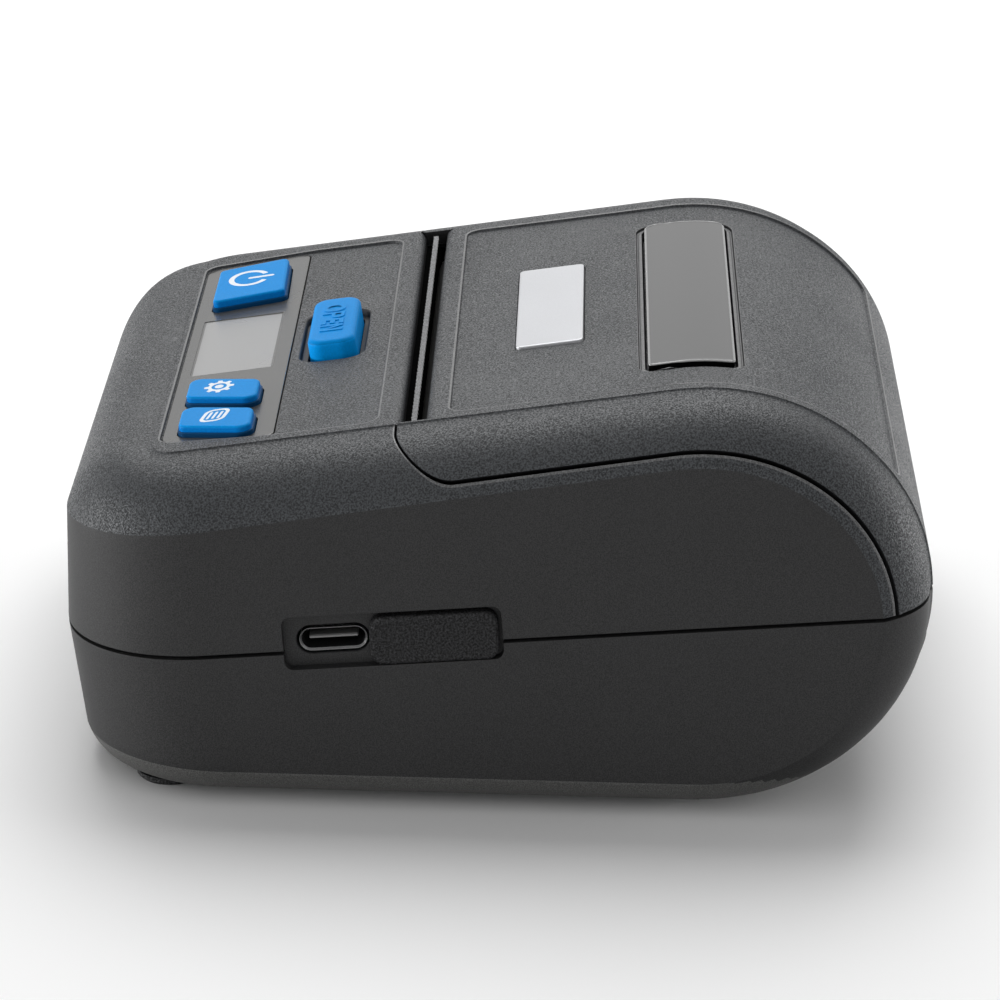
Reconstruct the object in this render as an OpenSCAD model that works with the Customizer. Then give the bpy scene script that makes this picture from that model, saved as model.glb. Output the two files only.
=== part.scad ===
// Portable receipt printer for 80 mm paper, lid at the rear, control panel at the front.
// X is the width (port side is +X), Y runs from the front (-Y) to the hinge (+Y), Z is up.

/* [Body] */
// Overall width across the two flat sides
body_w = 108; // [106:1:114]
// Overall length from the front wall to the rear of the roll end
body_l = 116; // [114:1:122]
// Thickness of the case walls
wall = 2; // [1.6:0.1:2.4]
// Radius of the two front corners, seen from above
corner_r = 20; // [16:1:24]
// Width of the rounded shoulder between each side and the top
shoulder_w = 11; // [9:0.5:12]
// Length of the rounded shoulder at the front
front_shoulder = 12; // [10:0.5:14]
// Height of the feet below the case
foot_h = 1; // [0.6:0.1:1.4]
// Diameter of each foot
foot_d = 9; // [7:0.5:10]
// Gap along the belt between the lower and upper case
belt_gap = 0.5; // [0.3:0.1:0.7]

/* [Lid] */
// Gap between the lid and the upper case
lid_gap = 0.3; // [0.25:0.05:0.45]
// Width of the paper slot's opening along the lid's front edge
slot_w = 85.2; // [84.6:0.2:86]
// Distance from the upper case's slot edge to the lid's front edge
slot_gap = 2.5; // [2.3:0.1:2.8]
// Length of the lid's smoked window across the width
window_w = 62; // [50:1:68]
// Length of the window along the lid's curve
window_l = 11.6; // [9:0.2:12]
// Length of the blank badge
badge_w = 33; // [24:1:40]
// Width of the blank badge
badge_l = 9.4; // [7:0.2:11]
// Radius of the hinge rod
hinge_rod_r = 0.75; // [0.6:0.05:0.8]
// Clearance round the hinge rod
hinge_fit = 0.05; // [0.03:0.01:0.09]

/* [Controls] */
// Height of the power button above the label
power_h = 1.4; // [0.8:0.1:2]
// Height of the two slanted buttons above the label
key_h = 1; // [0.6:0.1:1.6]
// Clearance round each button in its hole
button_fit = 0.25; // [0.15:0.05:0.35]
// Travel of the three panel buttons
button_travel = 0.4; // [0.3:0.05:0.45]
// Length of the OPEN button
open_w = 18.8; // [16:0.2:20]
// Width of the OPEN button
open_l = 6.6; // [5.6:0.2:7]
// Height of the OPEN button above the panel
open_h = 2; // [1.4:0.1:2.6]
// Width of the display window
display_w = 24.3; // [20:0.1:25]
// Length of the display window from front to back
display_l = 11.5; // [9:0.1:12]

/* [Port] */
// Length of the recess for the socket and its cover
port_pocket_l = 28.9; // [27:0.1:30]
// Height of the recess
port_pocket_h = 7.4; // [6.8:0.1:7.8]
// Depth of the recess
port_pocket_d = 1.6; // [1.2:0.1:1.8]
// Length of the rubber cover
cover_l = 17; // [15:0.1:17.4]
// Height of the rubber cover
cover_h = 6.9; // [6:0.1:6.9]

/* [Print mechanism] */
// Radius of the platen rubber
platen_r = 4.9; // [4.5:0.1:4.9]
// Length of the platen rubber
platen_l = 81; // [80:0.5:82]
// Radius of the platen shaft
shaft_r = 1.5; // [1.2:0.1:1.8]
// Radial clearance of each shaft in its bearing
shaft_fit = 0.05; // [0.03:0.01:0.09]
// Inside radius of the paper bin
bin_r = 21; // [19:0.5:21]
// Gear tooth size: pitch diameter divided by the number of teeth
gear_m = 0.5; // [0.46:0.01:0.5]
// Play between meshing teeth
gear_play = 0.14; // [0.1:0.01:0.2]

/* [Hidden] */
$fn = 48;

case_col = [0.13, 0.13, 0.14];
blue = [0.05, 0.42, 0.85];
steel = [0.7, 0.71, 0.72];
e = 0.01;

hw = body_w / 2;
yf0 = -body_l / 2;
yr0 = body_l / 2;
bot_z = foot_h;               // underside of the case
// belt line between the cases, and the planes of the crease and the top
// all three rise to the rear; each height is where the plane would meet the rear end
belt_rear = 29.77; belt_k = 0.088; belt_deg = atan(belt_k);
crease_rear = 55.2; crease_k = 0.169;
top_rear = 62.18; top_k = 0.16; top_deg = atan(top_k);
panel_y = yf0 + front_shoulder;
low_z = bot_z + 4;            // lower crease
lean = 2.3;                   // the lower front wall leans in by this
inner_corner = 4;
// rear ends of the mid profile and of the side profile: centre y, z, half axes
pr = [yr0 - 30, 28.5, 30.1, 28.45, 28.5 - bot_z];
qr = [yr0 - 31, 27.2, 24, 22.4, 27.2 - low_z];
slot_y = yr0 - 70.5;          // upper case's edge at the slot
lid_y = slot_y + slot_gap;    // lid's edge at the slot
lid_x = hw - 1.15;            // lid's side edges
hinge_y = yr0 - 3.65; hinge_z = 33.2;
platen_y = slot_y + 6.5; platen_z = 44.4;
bin_y = yr0 - 30.5; bin_z = 28.5;
head_y = platen_y - platen_r - 0.05;
head_py = platen_y - 8; head_pz = platen_z - 12.9;
teeth_platen = 16; teeth_idler = 30; teeth_pinion = 12;
gear_x = -48.4; gear_w = 2.8;
mesh_d1 = gear_m * (teeth_platen + teeth_idler) / 2;
mesh_d2 = gear_m * (teeth_idler + teeth_pinion) / 2;
// the idler sits straight back along the way the platen leaves
out_n = sqrt(pow(hinge_y - platen_y, 2) + pow(platen_z - hinge_z, 2));
out_y = (platen_z - hinge_z) / out_n; out_z = (hinge_y - platen_y) / out_n;
idler_y = platen_y - mesh_d1 * out_y; idler_z = platen_z - mesh_d1 * out_z;
motor_y = idler_y + mesh_d2 * sin(28.7); motor_z = idler_z - mesh_d2 * cos(28.7);

function top_z(y) = top_rear + top_k * (max(y, panel_y) - yr0);
function crease_z(y) = crease_rear + crease_k * (y - yr0);
function belt_z(y) = belt_rear + belt_k * (y - yr0);
// fall of a shoulder: 1 at its inner edge, 0 at the crease
function fall(u, k = 0.9, n = 2.3) =
  (sqrt(1 - pow(k * u, n)) - sqrt(1 - pow(k, n))) / (1 - sqrt(1 - pow(k, n)));
// front wall's y at station x, for a plan corner of radius r
function wall_y(x, h, y0, r) =
  abs(x) <= h - r ? y0 : y0 + r - sqrt(max(0, r * r - pow(abs(x) - h + r, 2)));
// level of a point on the front shoulder: 0 on the crease outline, 1 on the panel outline
function level(x, y, h, y0, r) =
  let (px = abs(x) - (h - r), py = y0 + r - y,
       dx = r - shoulder_w - inner_corner, dy = r - front_shoulder - inner_corner,
       dr = r - inner_corner, a = dx * dx + dy * dy - dr * dr,
       b = 2 * (r * dr - px * dx - py * dy), c = px * px + py * py - r * r,
       l = (-b + sqrt(max(0, b * b - 4 * a * c))) / (2 * a),
       side = (h - abs(x)) / shoulder_w, front = (y - y0) / front_shoulder)
  max(0, min(1, px > dx * l && py > dy * l ? l : min(side, front)));
function top_surf(x, y, o, h, y0, r) =
  let (zc = crease_z(y) - o, zt = top_z(y) - o)
  zc + (zt - zc) * fall(1 - level(x, y, h, y0, r));
function low_surf(x, y, o, h, y0, r) =
  let (px = abs(x) - (h - r), py = y0 + r - y,
       d = px > 0 && py > 0 ? r - sqrt(px * px + py * py) : min(h - abs(x), y - y0))
  low_z + o - (low_z - bot_z) * fall(1 - max(0, min(1, d / 5)));
// closed outline of the case at station x, drawn in by o in its own plane, sides in by ox
function outline(x, o, ox) =
  let (h = hw - ox, y0 = yf0 + o, r = corner_r - o, yw = wall_y(x, h, y0, r), yl = yw + lean,
       su = function (w) abs(x) > h - w ? fall(max(0, min(1, (abs(x) - h + w) / w))) : 1,
       top_end = yf0 + corner_r + 4, low_end = yf0 + corner_r + 5)
  concat(
    [[x, yl, low_z + o], [x, yw, belt_z(yw)], [x, yw, crease_z(yw) - o]],
    [for (f = [0.02, 0.07, 0.15, 0.25, 0.37, 0.5])
      let (y = yw + (top_end - yw) * f) [x, y, top_surf(x, y, o, h, y0, r)]],
    [[x, top_end, top_surf(x, top_end, o, h, y0, r)]],
    [for (i = [0:16])
      let (a = 100 - 11.875 * i, w = a >= 0 ? shoulder_w : shoulder_w + (shoulder_w - 5) * a / 90,
           s = su(w), bp = a >= 0 ? pr[3] : pr[4], bq = a >= 0 ? qr[3] : qr[4],
           p = [pr[0] + (pr[2] - o) * cos(a), pr[1] + (bp - o) * sin(a)],
           q = [qr[0] + (qr[2] - o) * cos(a), qr[1] + (bq - o) * sin(a)],
           m = q + (p - q) * s) [x, m[0], m[1]]],
    [for (g = [1, 0.22, 0.13, 0.06, 0.02])
      let (y = yl + (low_end - yl) * g) [x, y, low_surf(x, y, o, h, y0 + lean, r)]]);
stations = [54, 53.5, 52.6, 51.2, 49.4, 47.3, 45, 43.01, 40.4, 37.4, 33.9];
// closed solid through the outlines; o draws it in all round, ox only at the sides
module body_solid(o = 0, ox = 0) {
  h = hw - ox;
  k = [for (s = stations) s > 34 ? h - (54 - s) * (h - (hw - corner_r)) / 20 : hw - corner_r];
  xs = concat(k, [for (i = [len(k) - 1:-1:0]) -k[i]]);
  ls = [for (x = xs) outline(x, o, ox)];
  n = len(ls[0]); m = len(ls);
  polyhedron(points = [for (l = ls) each l], convexity = 6, faces = concat(
    [[for (i = [0:n - 1]) i], [for (i = [n - 1:-1:0]) (m - 1) * n + i]],
    [for (j = [0:m - 2], i = [0:n - 1]) [j * n + i, (j + 1) * n + i, j * n + (i + 1) % n]],
    [for (j = [0:m - 2], i = [0:n - 1])
      [(j + 1) * n + i, (j + 1) * n + (i + 1) % n, j * n + (i + 1) % n]]));
}
// half spaces above and below the belt plane, moved by d
module above_belt(d = 0) on_belt(0) translate([-80, -90, d]) cube([160, 180, 60]);
module below_belt(d = 0) on_belt(0) translate([-80, -90, d - 60]) cube([160, 180, 60]);
// local frames: on the top plane and on the belt plane, at a given y
module on_top(y) translate([0, y, top_z(y)]) rotate([top_deg, 0, 0]) children();
module on_belt(y) translate([0, y, belt_z(y)]) rotate([belt_deg, 0, 0]) children();
module along_x(x, y, z) translate([x, y, z]) rotate([90, 0, 90]) children();
module rod_x(x0, x1, y, z, r) along_x(x0, y, z) cylinder(h = x1 - x0, r = r);
// a flat shape drawn in Y and Z, extruded from x0 to x1
module slab_x(x0, x1) translate([x0, 0, 0]) rotate([90, 0, 90]) linear_extrude(x1 - x0) children();
module both() { children(); mirror([1, 0, 0]) children(); }
module round_rect(w, l, r) offset(r = r, $fn = 24) square([w - 2 * r, l - 2 * r], center = true);

// plan of the lid's region, grown by g
function lid_plan(g) =
  let (c = 8, cx = lid_x - c, cy = slot_y - 0.9 + c)
  concat([[slot_w / 2 - g, lid_y - g], [slot_w / 2 - g, slot_y - 0.9 - g]],
    [for (a = [0:15:90]) [cx + (c + g) * sin(a), cy - (c + g) * cos(a)]], [[lid_x + g, 90]]);
module lid_prism(g = 0) {
  h = lid_plan(g);
  translate([0, 0, 10]) linear_extrude(60)
    polygon(concat(h, [for (i = [len(h) - 1:-1:0]) [-h[i][0], h[i][1]]]));
}
// opening for the lid in the upper case: as the lid's plan, forward to the slot edge
module lid_opening() {
  lid_prism(lid_gap);
  translate([-slot_w / 2 - 0.2, slot_y, 10]) cube([slot_w + 0.4, 10, 60]);
}
// room that the lid's lower rear edge sweeps
module hinge_sweep(d = 0.3) {
  xs = [for (f = [0, 0.13, 0.3, 0.47, 0.68, 0.9]) lid_x + 0.35 - f * shoulder_w];
  rs = [for (x = xs)
    let (s = fall(max(0, min(1, (x - hw + shoulder_w) / shoulder_w))), z = belt_z(yr0),
         a = asin((z - pr[1]) / pr[3]), p = pr[0] + pr[2] * cos(a), q = qr[0] + qr[2] * cos(a),
         y = q + (p - q) * s) sqrt(pow(y - hinge_y, 2) + pow(hinge_z - z, 2)) + d];
  n = len(xs);
  along_x(0, hinge_y, hinge_z) rotate_extrude($fn = 40) polygon(concat(
    [[0, -xs[0]]], [for (i = [0:n - 1]) [rs[i], -xs[i]]],
    [for (i = [n - 1:-1:0]) [rs[i], xs[i]]], [[0, xs[0]]]));
}
module port_pocket() on_belt(port_y)
  translate([hw - port_pocket_d, 0, port_w]) rotate([90, 0, 90])
    linear_extrude(10) round_rect(port_pocket_l, port_pocket_h, 1.2);

// places of the four case screws; the front pair lies under the front feet
front_post = [hw - 10.5, yf0 + 14.5];
rear_post = [hw - 7.4, yr0 - 25];
rear_foot = [hw - 12, yr0 - 31];
frame_x = platen_l / 2 + 2.9;   // inner face of the mechanism's side plates
frame_t = 1.2;
frame_z = 15;                   // underside of the mechanism's floor
frame_screws_at = [[36, platen_y - 10], [22, platen_y + 2]];
bin_x = platen_l / 2 + 1.1;     // inner face of the bin's cheeks
board_w = -0.45;                // top of the main board, above the belt plane
board_t = 1.6;
door_w = body_w - 30.8; door_y = yf0 + 5.4; door_l = 33.2;
pack_y = yf0 + 7; pack_l = 29.4; pack_end = 1.2;
cell_rows = [pack_y + 7.4, pack_y + 22];
cell_r = (belt_z(cell_rows[0]) - 2.6 - 5) / 2;
cell_z = 5 + cell_r;
port_y = yf0 + 44.9; port_w = 1.25;
usb_y = yf0 + 37; cover_y = port_y + 5.5; stem_y = port_y - 0.1;
// main board's screw places and the key board's
board_screws_at = [[hw - 10.5, yf0 + 28.5], [hw - 12.8, yf0 + 9.6]];
key_y = yf0 + 20.4; button_y = yf0 + 20.2; open_y = slot_y - 11.4;
key_z = -8.1; key_t = 1.2;
key_screws_at = [[38.6, -6.6], [-38.6, -6.6], [14.8, 6.4]];

// upright ring inside the belt, from the lower case, that closes the gap
module belt_ring(t, z0, z1) on_belt(yf0) translate([0, 0, z0]) linear_extrude(z1 - z0)
  difference() {
    ring_shape(hw - 3.8 + t, t);
    ring_shape(hw - 3.8, 0);
    translate([-80, yr0 - yf0 - 12]) square([160, 60]);
  }
module ring_shape(h, t) polygon(concat(
  [for (a = [0:15:90]) [-(h - 16.2 - t) - (16.2 + t) * sin(a), 20 - (16.2 + t) * cos(a)]],
  [[-h, 140], [h, 140]],
  [for (a = [90:-15:0]) [h - 16.2 - t + (16.2 + t) * sin(a), 20 - (16.2 + t) * cos(a)]]));
// wall behind the port's recess
module port_backing() on_belt(port_y) translate([hw - 3.6, -port_pocket_l / 2 - 1.5, port_w - 5.5])
  cube([2, port_pocket_l + 3, 11]);
module port_clear() on_belt(port_y) translate([hw - 6, -port_pocket_l / 2 - 2, -0.3])
  cube([5, port_pocket_l + 4, 4]);

module lower_case() color(case_col) resize([0, 0, 0]) difference() {
  union() {
    difference() {
      intersection() { body_solid(); below_belt(-belt_gap / 2); }
      body_solid(wall, wall);
    }
    intersection() {
      body_solid(0.6, 0.6);
      union() {
        both() post(front_post, 0, belt_z(front_post[1]) - 4.8, 3.4);
        both() post(rear_post, 0, 16, 3.4);
        both() for (p = frame_screws_at) post(p, 0, frame_z - 0.1, 3);
        both() for (y = [bin_y - 11.5, bin_y + 11.5]) post([30, y], 0, 14, 3);
        both() for (p = board_screws_at) on_belt(p[1])
          translate([p[0], 0, board_w - board_t - 18]) cylinder(h = 17.9, r = 1.9, $fn = 16);
        both() translate([door_w / 2 + 0.9, pack_y - 1, 0]) cube([1.4, pack_l + 2.6, 12]);
        translate([-door_w / 2 - 0.9, pack_y + pack_l + 0.7, 0]) cube([door_w + 1.8, 1.4, 12]);
        both() translate([door_w / 2 - 2.2, door_y + 16.6, 0]) cylinder(h = 4, r = 2, $fn = 16);
        belt_ring(2.2, -4, -0.3);
        intersection() { port_backing(); below_belt(-belt_gap / 2 - 0.2); }
      }
    }
    difference() {
      belt_ring(1, -3, 1.5);
      port_clear();
    }
  }
  hinge_sweep();
  port_pocket();
  usb_hole();
  both() for (p = [front_post, rear_post]) translate([p[0], p[1], -e]) {
    cylinder(h = 20, r = 1.45, $fn = 20); cylinder(h = 5.03, r = 2.6, $fn = 20);
  }
  both() for (p = frame_screws_at) post(p, 8, 12, 1.05);
  both() for (p = board_screws_at) on_belt(p[1]) translate([p[0], 0, -8]) cylinder(h = 10, r = 0.95, $fn = 16);
  rod_x(-bin_x - 2, bin_x + 2, bin_y, bin_z, bin_r + 1.3);
  translate([-door_w / 2 + 4.3, door_y + 2.3, -e]) cube([door_w - 8.6, door_l - 4.6, 3.1 + foot_h]);
  translate([-door_w / 2 - 0.2, door_y - 0.2, -e]) cube([door_w + 0.4, door_l + 0.4, 0.93 + foot_h]);
  both() translate([door_w / 2 - 2.2, door_y + 16.6, -e]) cylinder(h = 8, r = 1, $fn = 16);
}
module post(p, z, h, r) translate([p[0], p[1], z]) cylinder(h = h, r = r, $fn = 20);
module rubber_feet() color([0.05, 0.05, 0.05]) both() for (p = [front_post, rear_foot])
  translate([p[0], p[1], 0]) rotate_extrude()
    polygon([[0, 0], [foot_d / 2 - 0.4, 0], [foot_d / 2, 0.4], [foot_d / 2, bot_z], [0, bot_z]]);
module battery_door() color(case_col) difference() {
  union() {
    translate([-door_w / 2, door_y, foot_h]) cube([door_w, door_l, 0.9]);
    translate([-door_w / 2 + 4.6, door_y + 2.6, foot_h]) cube([door_w - 9.2, door_l - 5.2, 2.9]);
  }
  for (i = [-4:4]) translate([i * 6 - 1, door_y + 6.6, foot_h - e]) cube([2, 20, 0.4]);
  both() translate([door_w / 2 - 2.2, door_y + 16.6, foot_h - e]) {
    cylinder(h = 5, r = 1.1); cylinder(h = 0.55, r = 2);
  }
}
module battery_pack() color([0.12, 0.25, 0.5]) {
  both() for (y = cell_rows) rod_x(0.4, door_w / 2 - pack_end, y, cell_z, cell_r);
  translate([-door_w / 2, pack_y, 4.2]) cube([door_w, pack_l, 1.5]);
  both() translate([door_w / 2 - pack_end, pack_y, 4.2]) cube([pack_end, pack_l, 2 * cell_r]);
}
module case_screws() color(steel) {
  both() for (p = [front_post, rear_post]) translate([p[0], p[1], 0]) {
    translate([0, 0, 3.6]) cylinder(h = 21, r = 1.2);
    difference() {
      translate([0, 0, 2.6]) cylinder(h = 2.4, r = 2.3);
      cross_slot(2.6);
    }
  }
  both() translate([door_w / 2 - 2.2, door_y + 16.6, 0]) difference() {
    union() {
      translate([0, 0, 1.2]) cylinder(h = 2.7, r = 0.9);
      translate([0, 0, foot_h + 0.05]) cylinder(h = 0.4, r = 1.8);
    }
    translate([0, 0, 0.6]) cross_slot(0.4);
  }
}
module cross_slot(z) for (a = [0, 90]) translate([0, 0, z]) rotate(a) cube([2.4, 0.6, 1.8], center = true);

module panel_cut() {
  on_top(slot_y - 18.4) translate([0, 0, -0.35]) linear_extrude(5) round_rect(82.6, 30.4, 2);
  on_top(key_y) translate([0, 0, -0.95]) linear_extrude(5) label_shape(0.1);
}
module label_shape(d = 0) offset(r = 1.5 + d, $fn = 16) polygon([
  [-36.8, -6.4], [36.8, -6.4], [39.4, 6.4], [-39.4, 6.4]]);
module power_shape(d = 0) offset(r = 0.9 + d, $fn = 16)
  polygon([[-31.4, -4.3], [-18.6, -4.3], [-18.6, 4.4], [-33.5, 4.4]]);
module slant_shape(x, d = 0) offset(r = 1.6 + d, $fn = 16)
  polygon([[x - 4.1, -3.7], [x + 0.9, -3.7], [x + 4.3, 3.7], [x - 0.7, 3.7]]);
settings_x = 22.2; feed_x = 34;
// a button: skirt under the case's skin, stem, and a stepped rim on top
flange_z = -wall - 1.1;
module cap(h) {
  translate([0, 0, flange_z]) linear_extrude(h - 0.25 - flange_z) children(0);
  translate([0, 0, h - 0.3]) linear_extrude(0.3) children(1);
  translate([0, 0, flange_z]) linear_extrude(1) children(2);
}
module power_button() color(blue) on_top(button_y) cap(power_h - 0.4) {
  power_shape(); power_shape(-0.4); power_shape(0.8);
}
module settings_button() color(blue) on_top(button_y) cap(key_h - 0.4) {
  slant_shape(settings_x); slant_shape(settings_x, -0.4); slant_shape(settings_x, 0.8);
}
module feed_button() color(blue) on_top(button_y) cap(key_h - 0.4) {
  slant_shape(feed_x); slant_shape(feed_x, -0.4); slant_shape(feed_x, 0.8);
}
module button_holes(d) on_top(button_y) translate([0, 0, -6]) linear_extrude(12) {
  power_shape(d); slant_shape(settings_x, d); slant_shape(feed_x, d);
}
display_x = -1;
module display_hole(d, z0, h) on_top(button_y) translate([display_x, 0, z0])
  linear_extrude(h) round_rect(display_w + 2 * d, display_l + 2 * d, 0.4 + d);
module open_shape(d = 0) round_rect(open_w + 2 * d, open_l + 2 * d, 2.2 + d);
module open_hole() on_top(open_y) translate([0, 0, -6]) linear_extrude(12) open_shape(button_fit);
module usb_hole() on_belt(usb_y) translate([40, 0, board_w + 1.6]) rotate([90, 0, 90])
  linear_extrude(20) usb_shape(0.15);

module upper_case() color(case_col) resize([0, 0, 0]) difference() {
  union() {
    difference() {
      intersection() { body_solid(); above_belt(belt_gap / 2); }
      body_solid(wall, wall);
      lid_opening();
    }
    intersection() {
      body_solid(0.5, 0.3);
      above_belt(belt_gap / 2 + 0.2);
      union() {
        both() {
          slab_x(lid_x - 1.4, lid_x + 0.4) side_rib();
          post(front_post, 0, 60, 3.2);
          post(rear_post, 0, 34, 3.2);
          translate([rear_post[0], rear_post[1] - 1, belt_z(rear_post[1]) + 2]) cube([6, 2, 4]);
          translate([frame_x + 1.8, slot_y - 9, 30]) cube([7.5, 1.6, 30]);
        }
        for (p = key_screws_at) on_top(key_y) translate([p[0], p[1], key_z + key_t])
          cylinder(h = -key_z - key_t - 1.5, r = 1.7, $fn = 16);
        port_backing();
      }
    }
    intersection() {
      body_solid(0.5, 0.3);
      both() post(front_post, belt_z(front_post[1]) - 4.6, 8, 3.2);
    }
    both() post(rear_post, 16.2, 14, 3.2);
  }
  panel_cut();
  button_holes(button_fit);
  display_hole(0.1, -6, 12);
  open_hole();
  on_top(open_y) translate([0, 0, -0.9]) linear_extrude(5) open_shape(1);
  port_pocket();
  usb_hole();
  on_belt(stem_y) translate([hw - 6, 0, port_w]) {
    rotate([90, 0, 90]) cylinder(h = 8, r = 1.3, $fn = 16);
    translate([0, -1.3, -4]) cube([8, 2.6, 4]);
  }
  both() for (p = [front_post, rear_post]) post(p, 10, 15.5, 1.3);
  for (p = key_screws_at) on_top(key_y) translate([p[0], p[1], key_z]) cylinder(h = 5, r = 0.95, $fn = 16);
}
// inner part of each upper side wall, under the lid's edge
module side_rib() {
  q = [for (a = [98:-12:2]) [qr[0] + (qr[2] - 1.3) * cos(a), qr[1] + (qr[3] - 1.3) * sin(a)]];
  y = slot_y + 9.5;
  polygon(concat([[y, belt_z(y) - 2], [y, crease_z(y) - 1.3]], q,
    [[qr[0] + qr[2] - 1.3, belt_z(yr0) - 2]]));
}
module control_label() color([0.36, 0.37, 0.39]) difference() {
  on_top(key_y) translate([0, 0, -0.95]) linear_extrude(0.55) label_shape();
  button_holes(button_fit);
  display_hole(0.05, -6, 12);
}
module display_window() color([0.72, 0.74, 0.75]) display_hole(0, -1.6, 1.2);
module display_module() color([0.08, 0.1, 0.12]) on_top(button_y) translate([display_x, 0, 0]) {
  translate([-13, -6.6, -4]) cube([26, 13.2, 1.5]);
  translate([-13.6, -7.2, -5.1]) cube([27.2, 14.4, 1.1]);
  for (i = [-3:3]) translate([i * 2.2 - 0.3, -7, key_z + key_t]) cube([0.6, 0.6, -5 - key_z - key_t]);
}
module key_board() color([0.1, 0.35, 0.2]) difference() {
  on_top(key_y) translate([0, 0, key_z]) linear_extrude(key_t) round_rect(82, 17, 2);
  both() post(front_post, 20, 40, 3.4);
  for (p = key_screws_at) on_top(key_y) translate([p[0], p[1], key_z - 1]) cylinder(h = 4, r = 1);
}
module key_switches() color([0.2, 0.2, 0.2]) on_top(button_y) for (x = [-26, settings_x, feed_x])
  translate([x, 0, key_z + key_t]) {
    translate([-2.9, -2.9, 0]) cube([5.8, 5.8, 2.6]);
    cylinder(h = flange_z - button_travel - 0.05 - key_z - key_t, r = 1.6);
  }
module board_screws() color(steel) {
  both() for (p = board_screws_at) on_belt(p[1]) translate([p[0], 0, board_w]) small_screw();
  for (p = key_screws_at) on_top(key_y) translate([p[0], p[1], key_z]) rotate([180, 0, 0]) small_screw();
}
module small_screw() {
  translate([0, 0, -5]) cylinder(h = 5.2, r = 0.85);
  difference() {
    translate([0, 0, 0.02]) cylinder(h = 1, r = 1.7);
    translate([0, 0, 0.9]) for (a = [0, 90]) rotate(a) cube([1.9, 0.4, 0.8], center = true);
  }
}
open_leg = 11.7;
module open_button() color(blue) on_top(open_y) {
  translate([0, 0, flange_z]) linear_extrude(open_h - 0.3 - flange_z) open_shape();
  translate([0, 0, open_h - 0.4]) linear_extrude(0.4) open_shape(-0.5);
  difference() {
    translate([0, 0, flange_z]) linear_extrude(1) open_shape(0.9);
    translate([-6, -5, flange_z - 0.2]) cube([12, 10, 0.7]);
  }
  translate([-3, -1.4, -open_leg]) cube([6, 2.8, open_leg + flange_z + 1]);
}

board_pts = [[5 - hw, 32], [5 - hw, 20], [8.4 - hw, 11.5], [12 - hw, 7.2], [-36, 4.2], [36, 4.2],
  [hw - 10.4, 8.5], [hw - 4.2, 20.4], [hw - 4.2, 42], [frame_x + 1.8, 42], [frame_x + 1.8, 35],
  [24, 35], [24, 32]];
module main_board() color([0.1, 0.35, 0.2]) on_belt(yf0) translate([0, 0, board_w - board_t]) difference() {
  linear_extrude(board_t) polygon(board_pts);
  both() translate([front_post[0], front_post[1] - yf0 - 0.2, -1]) cylinder(h = 4, r = 3.6);
  both() for (p = board_screws_at) translate([p[0], (p[1] - yf0) / cos(belt_deg), -1]) cylinder(h = 4, r = 1);
}
module board_parts() color([0.15, 0.15, 0.16]) on_belt(yf0) translate([0, 0, board_w]) {
  translate([-8, 14, 0]) cube([12, 12, 1.6]);
  translate([14, 16, 0]) cube([8, 8, 1.2]);
  translate([-26, 12, 0]) cube([14, 8, 2.4]);
  translate([-40, 20, 0]) cube([6, 9, 5]);
  translate([28, 26, 0]) cube([10, 5, 1.2]);
  translate([28, 15, 0]) cylinder(h = 7, r = 3.2);
  translate([36, 22, 0]) cylinder(h = 7, r = 3.2);
}
module usb_shape(d) round_rect(8.94 + 2 * d, 3.2 + 2 * d, 1.3 + d);
module usb_shell() color(steel) on_belt(usb_y) translate([hw - port_pocket_d - 7.2, 0, board_w + 1.6])
  rotate([90, 0, 90]) difference() {
    linear_extrude(7.3) usb_shape(0);
    translate([0, 0, 0.8]) linear_extrude(7.3) usb_shape(-0.3);
  }
module usb_tongue() color([0.06, 0.06, 0.06]) on_belt(usb_y)
  translate([hw - port_pocket_d - 6.4, -3.35, board_w + 1.25]) cube([5.6, 6.7, 0.7]);
module port_cover() color([0.06, 0.06, 0.06]) {
  on_belt(cover_y) translate([hw - port_pocket_d + 0.05, 0, port_w]) rotate([90, 0, 90])
    linear_extrude(port_pocket_d + 0.15) round_rect(cover_l, cover_h, 1.4);
  on_belt(stem_y) translate([hw - 7.6, 0, port_w]) rotate([90, 0, 90]) cylinder(h = 6.2, r = 1.2);
  on_belt(stem_y) translate([hw - 7.6, 0, port_w]) rotate([90, 0, 90]) cylinder(h = 1, r = 1.65);
}

tear_half = platen_l / 2 + 1.3;
module tear_bar() color([0.75, 0.76, 0.77]) on_top(slot_y) {
  translate([-tear_half, -4.6, -wall - 0.95]) cube([2 * tear_half, 5.9, 0.8]);
  translate([-tear_half, 0.45, -wall - 0.95]) cube([2 * tear_half, 0.85, wall]);
  translate([0, 1.3, -1.1]) rotate([90, 0, 0]) linear_extrude(0.85)
    polygon(concat([[tear_half, 0], [-tear_half, 0]], [for (i = [0:54])
      let (p = 2 * tear_half / 54, x = -tear_half + i * p)
      each (i < 54 ? [[x, 0.35], [x + p / 2, 0.95]] : [[x, 0.35]])]));
}
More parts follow.
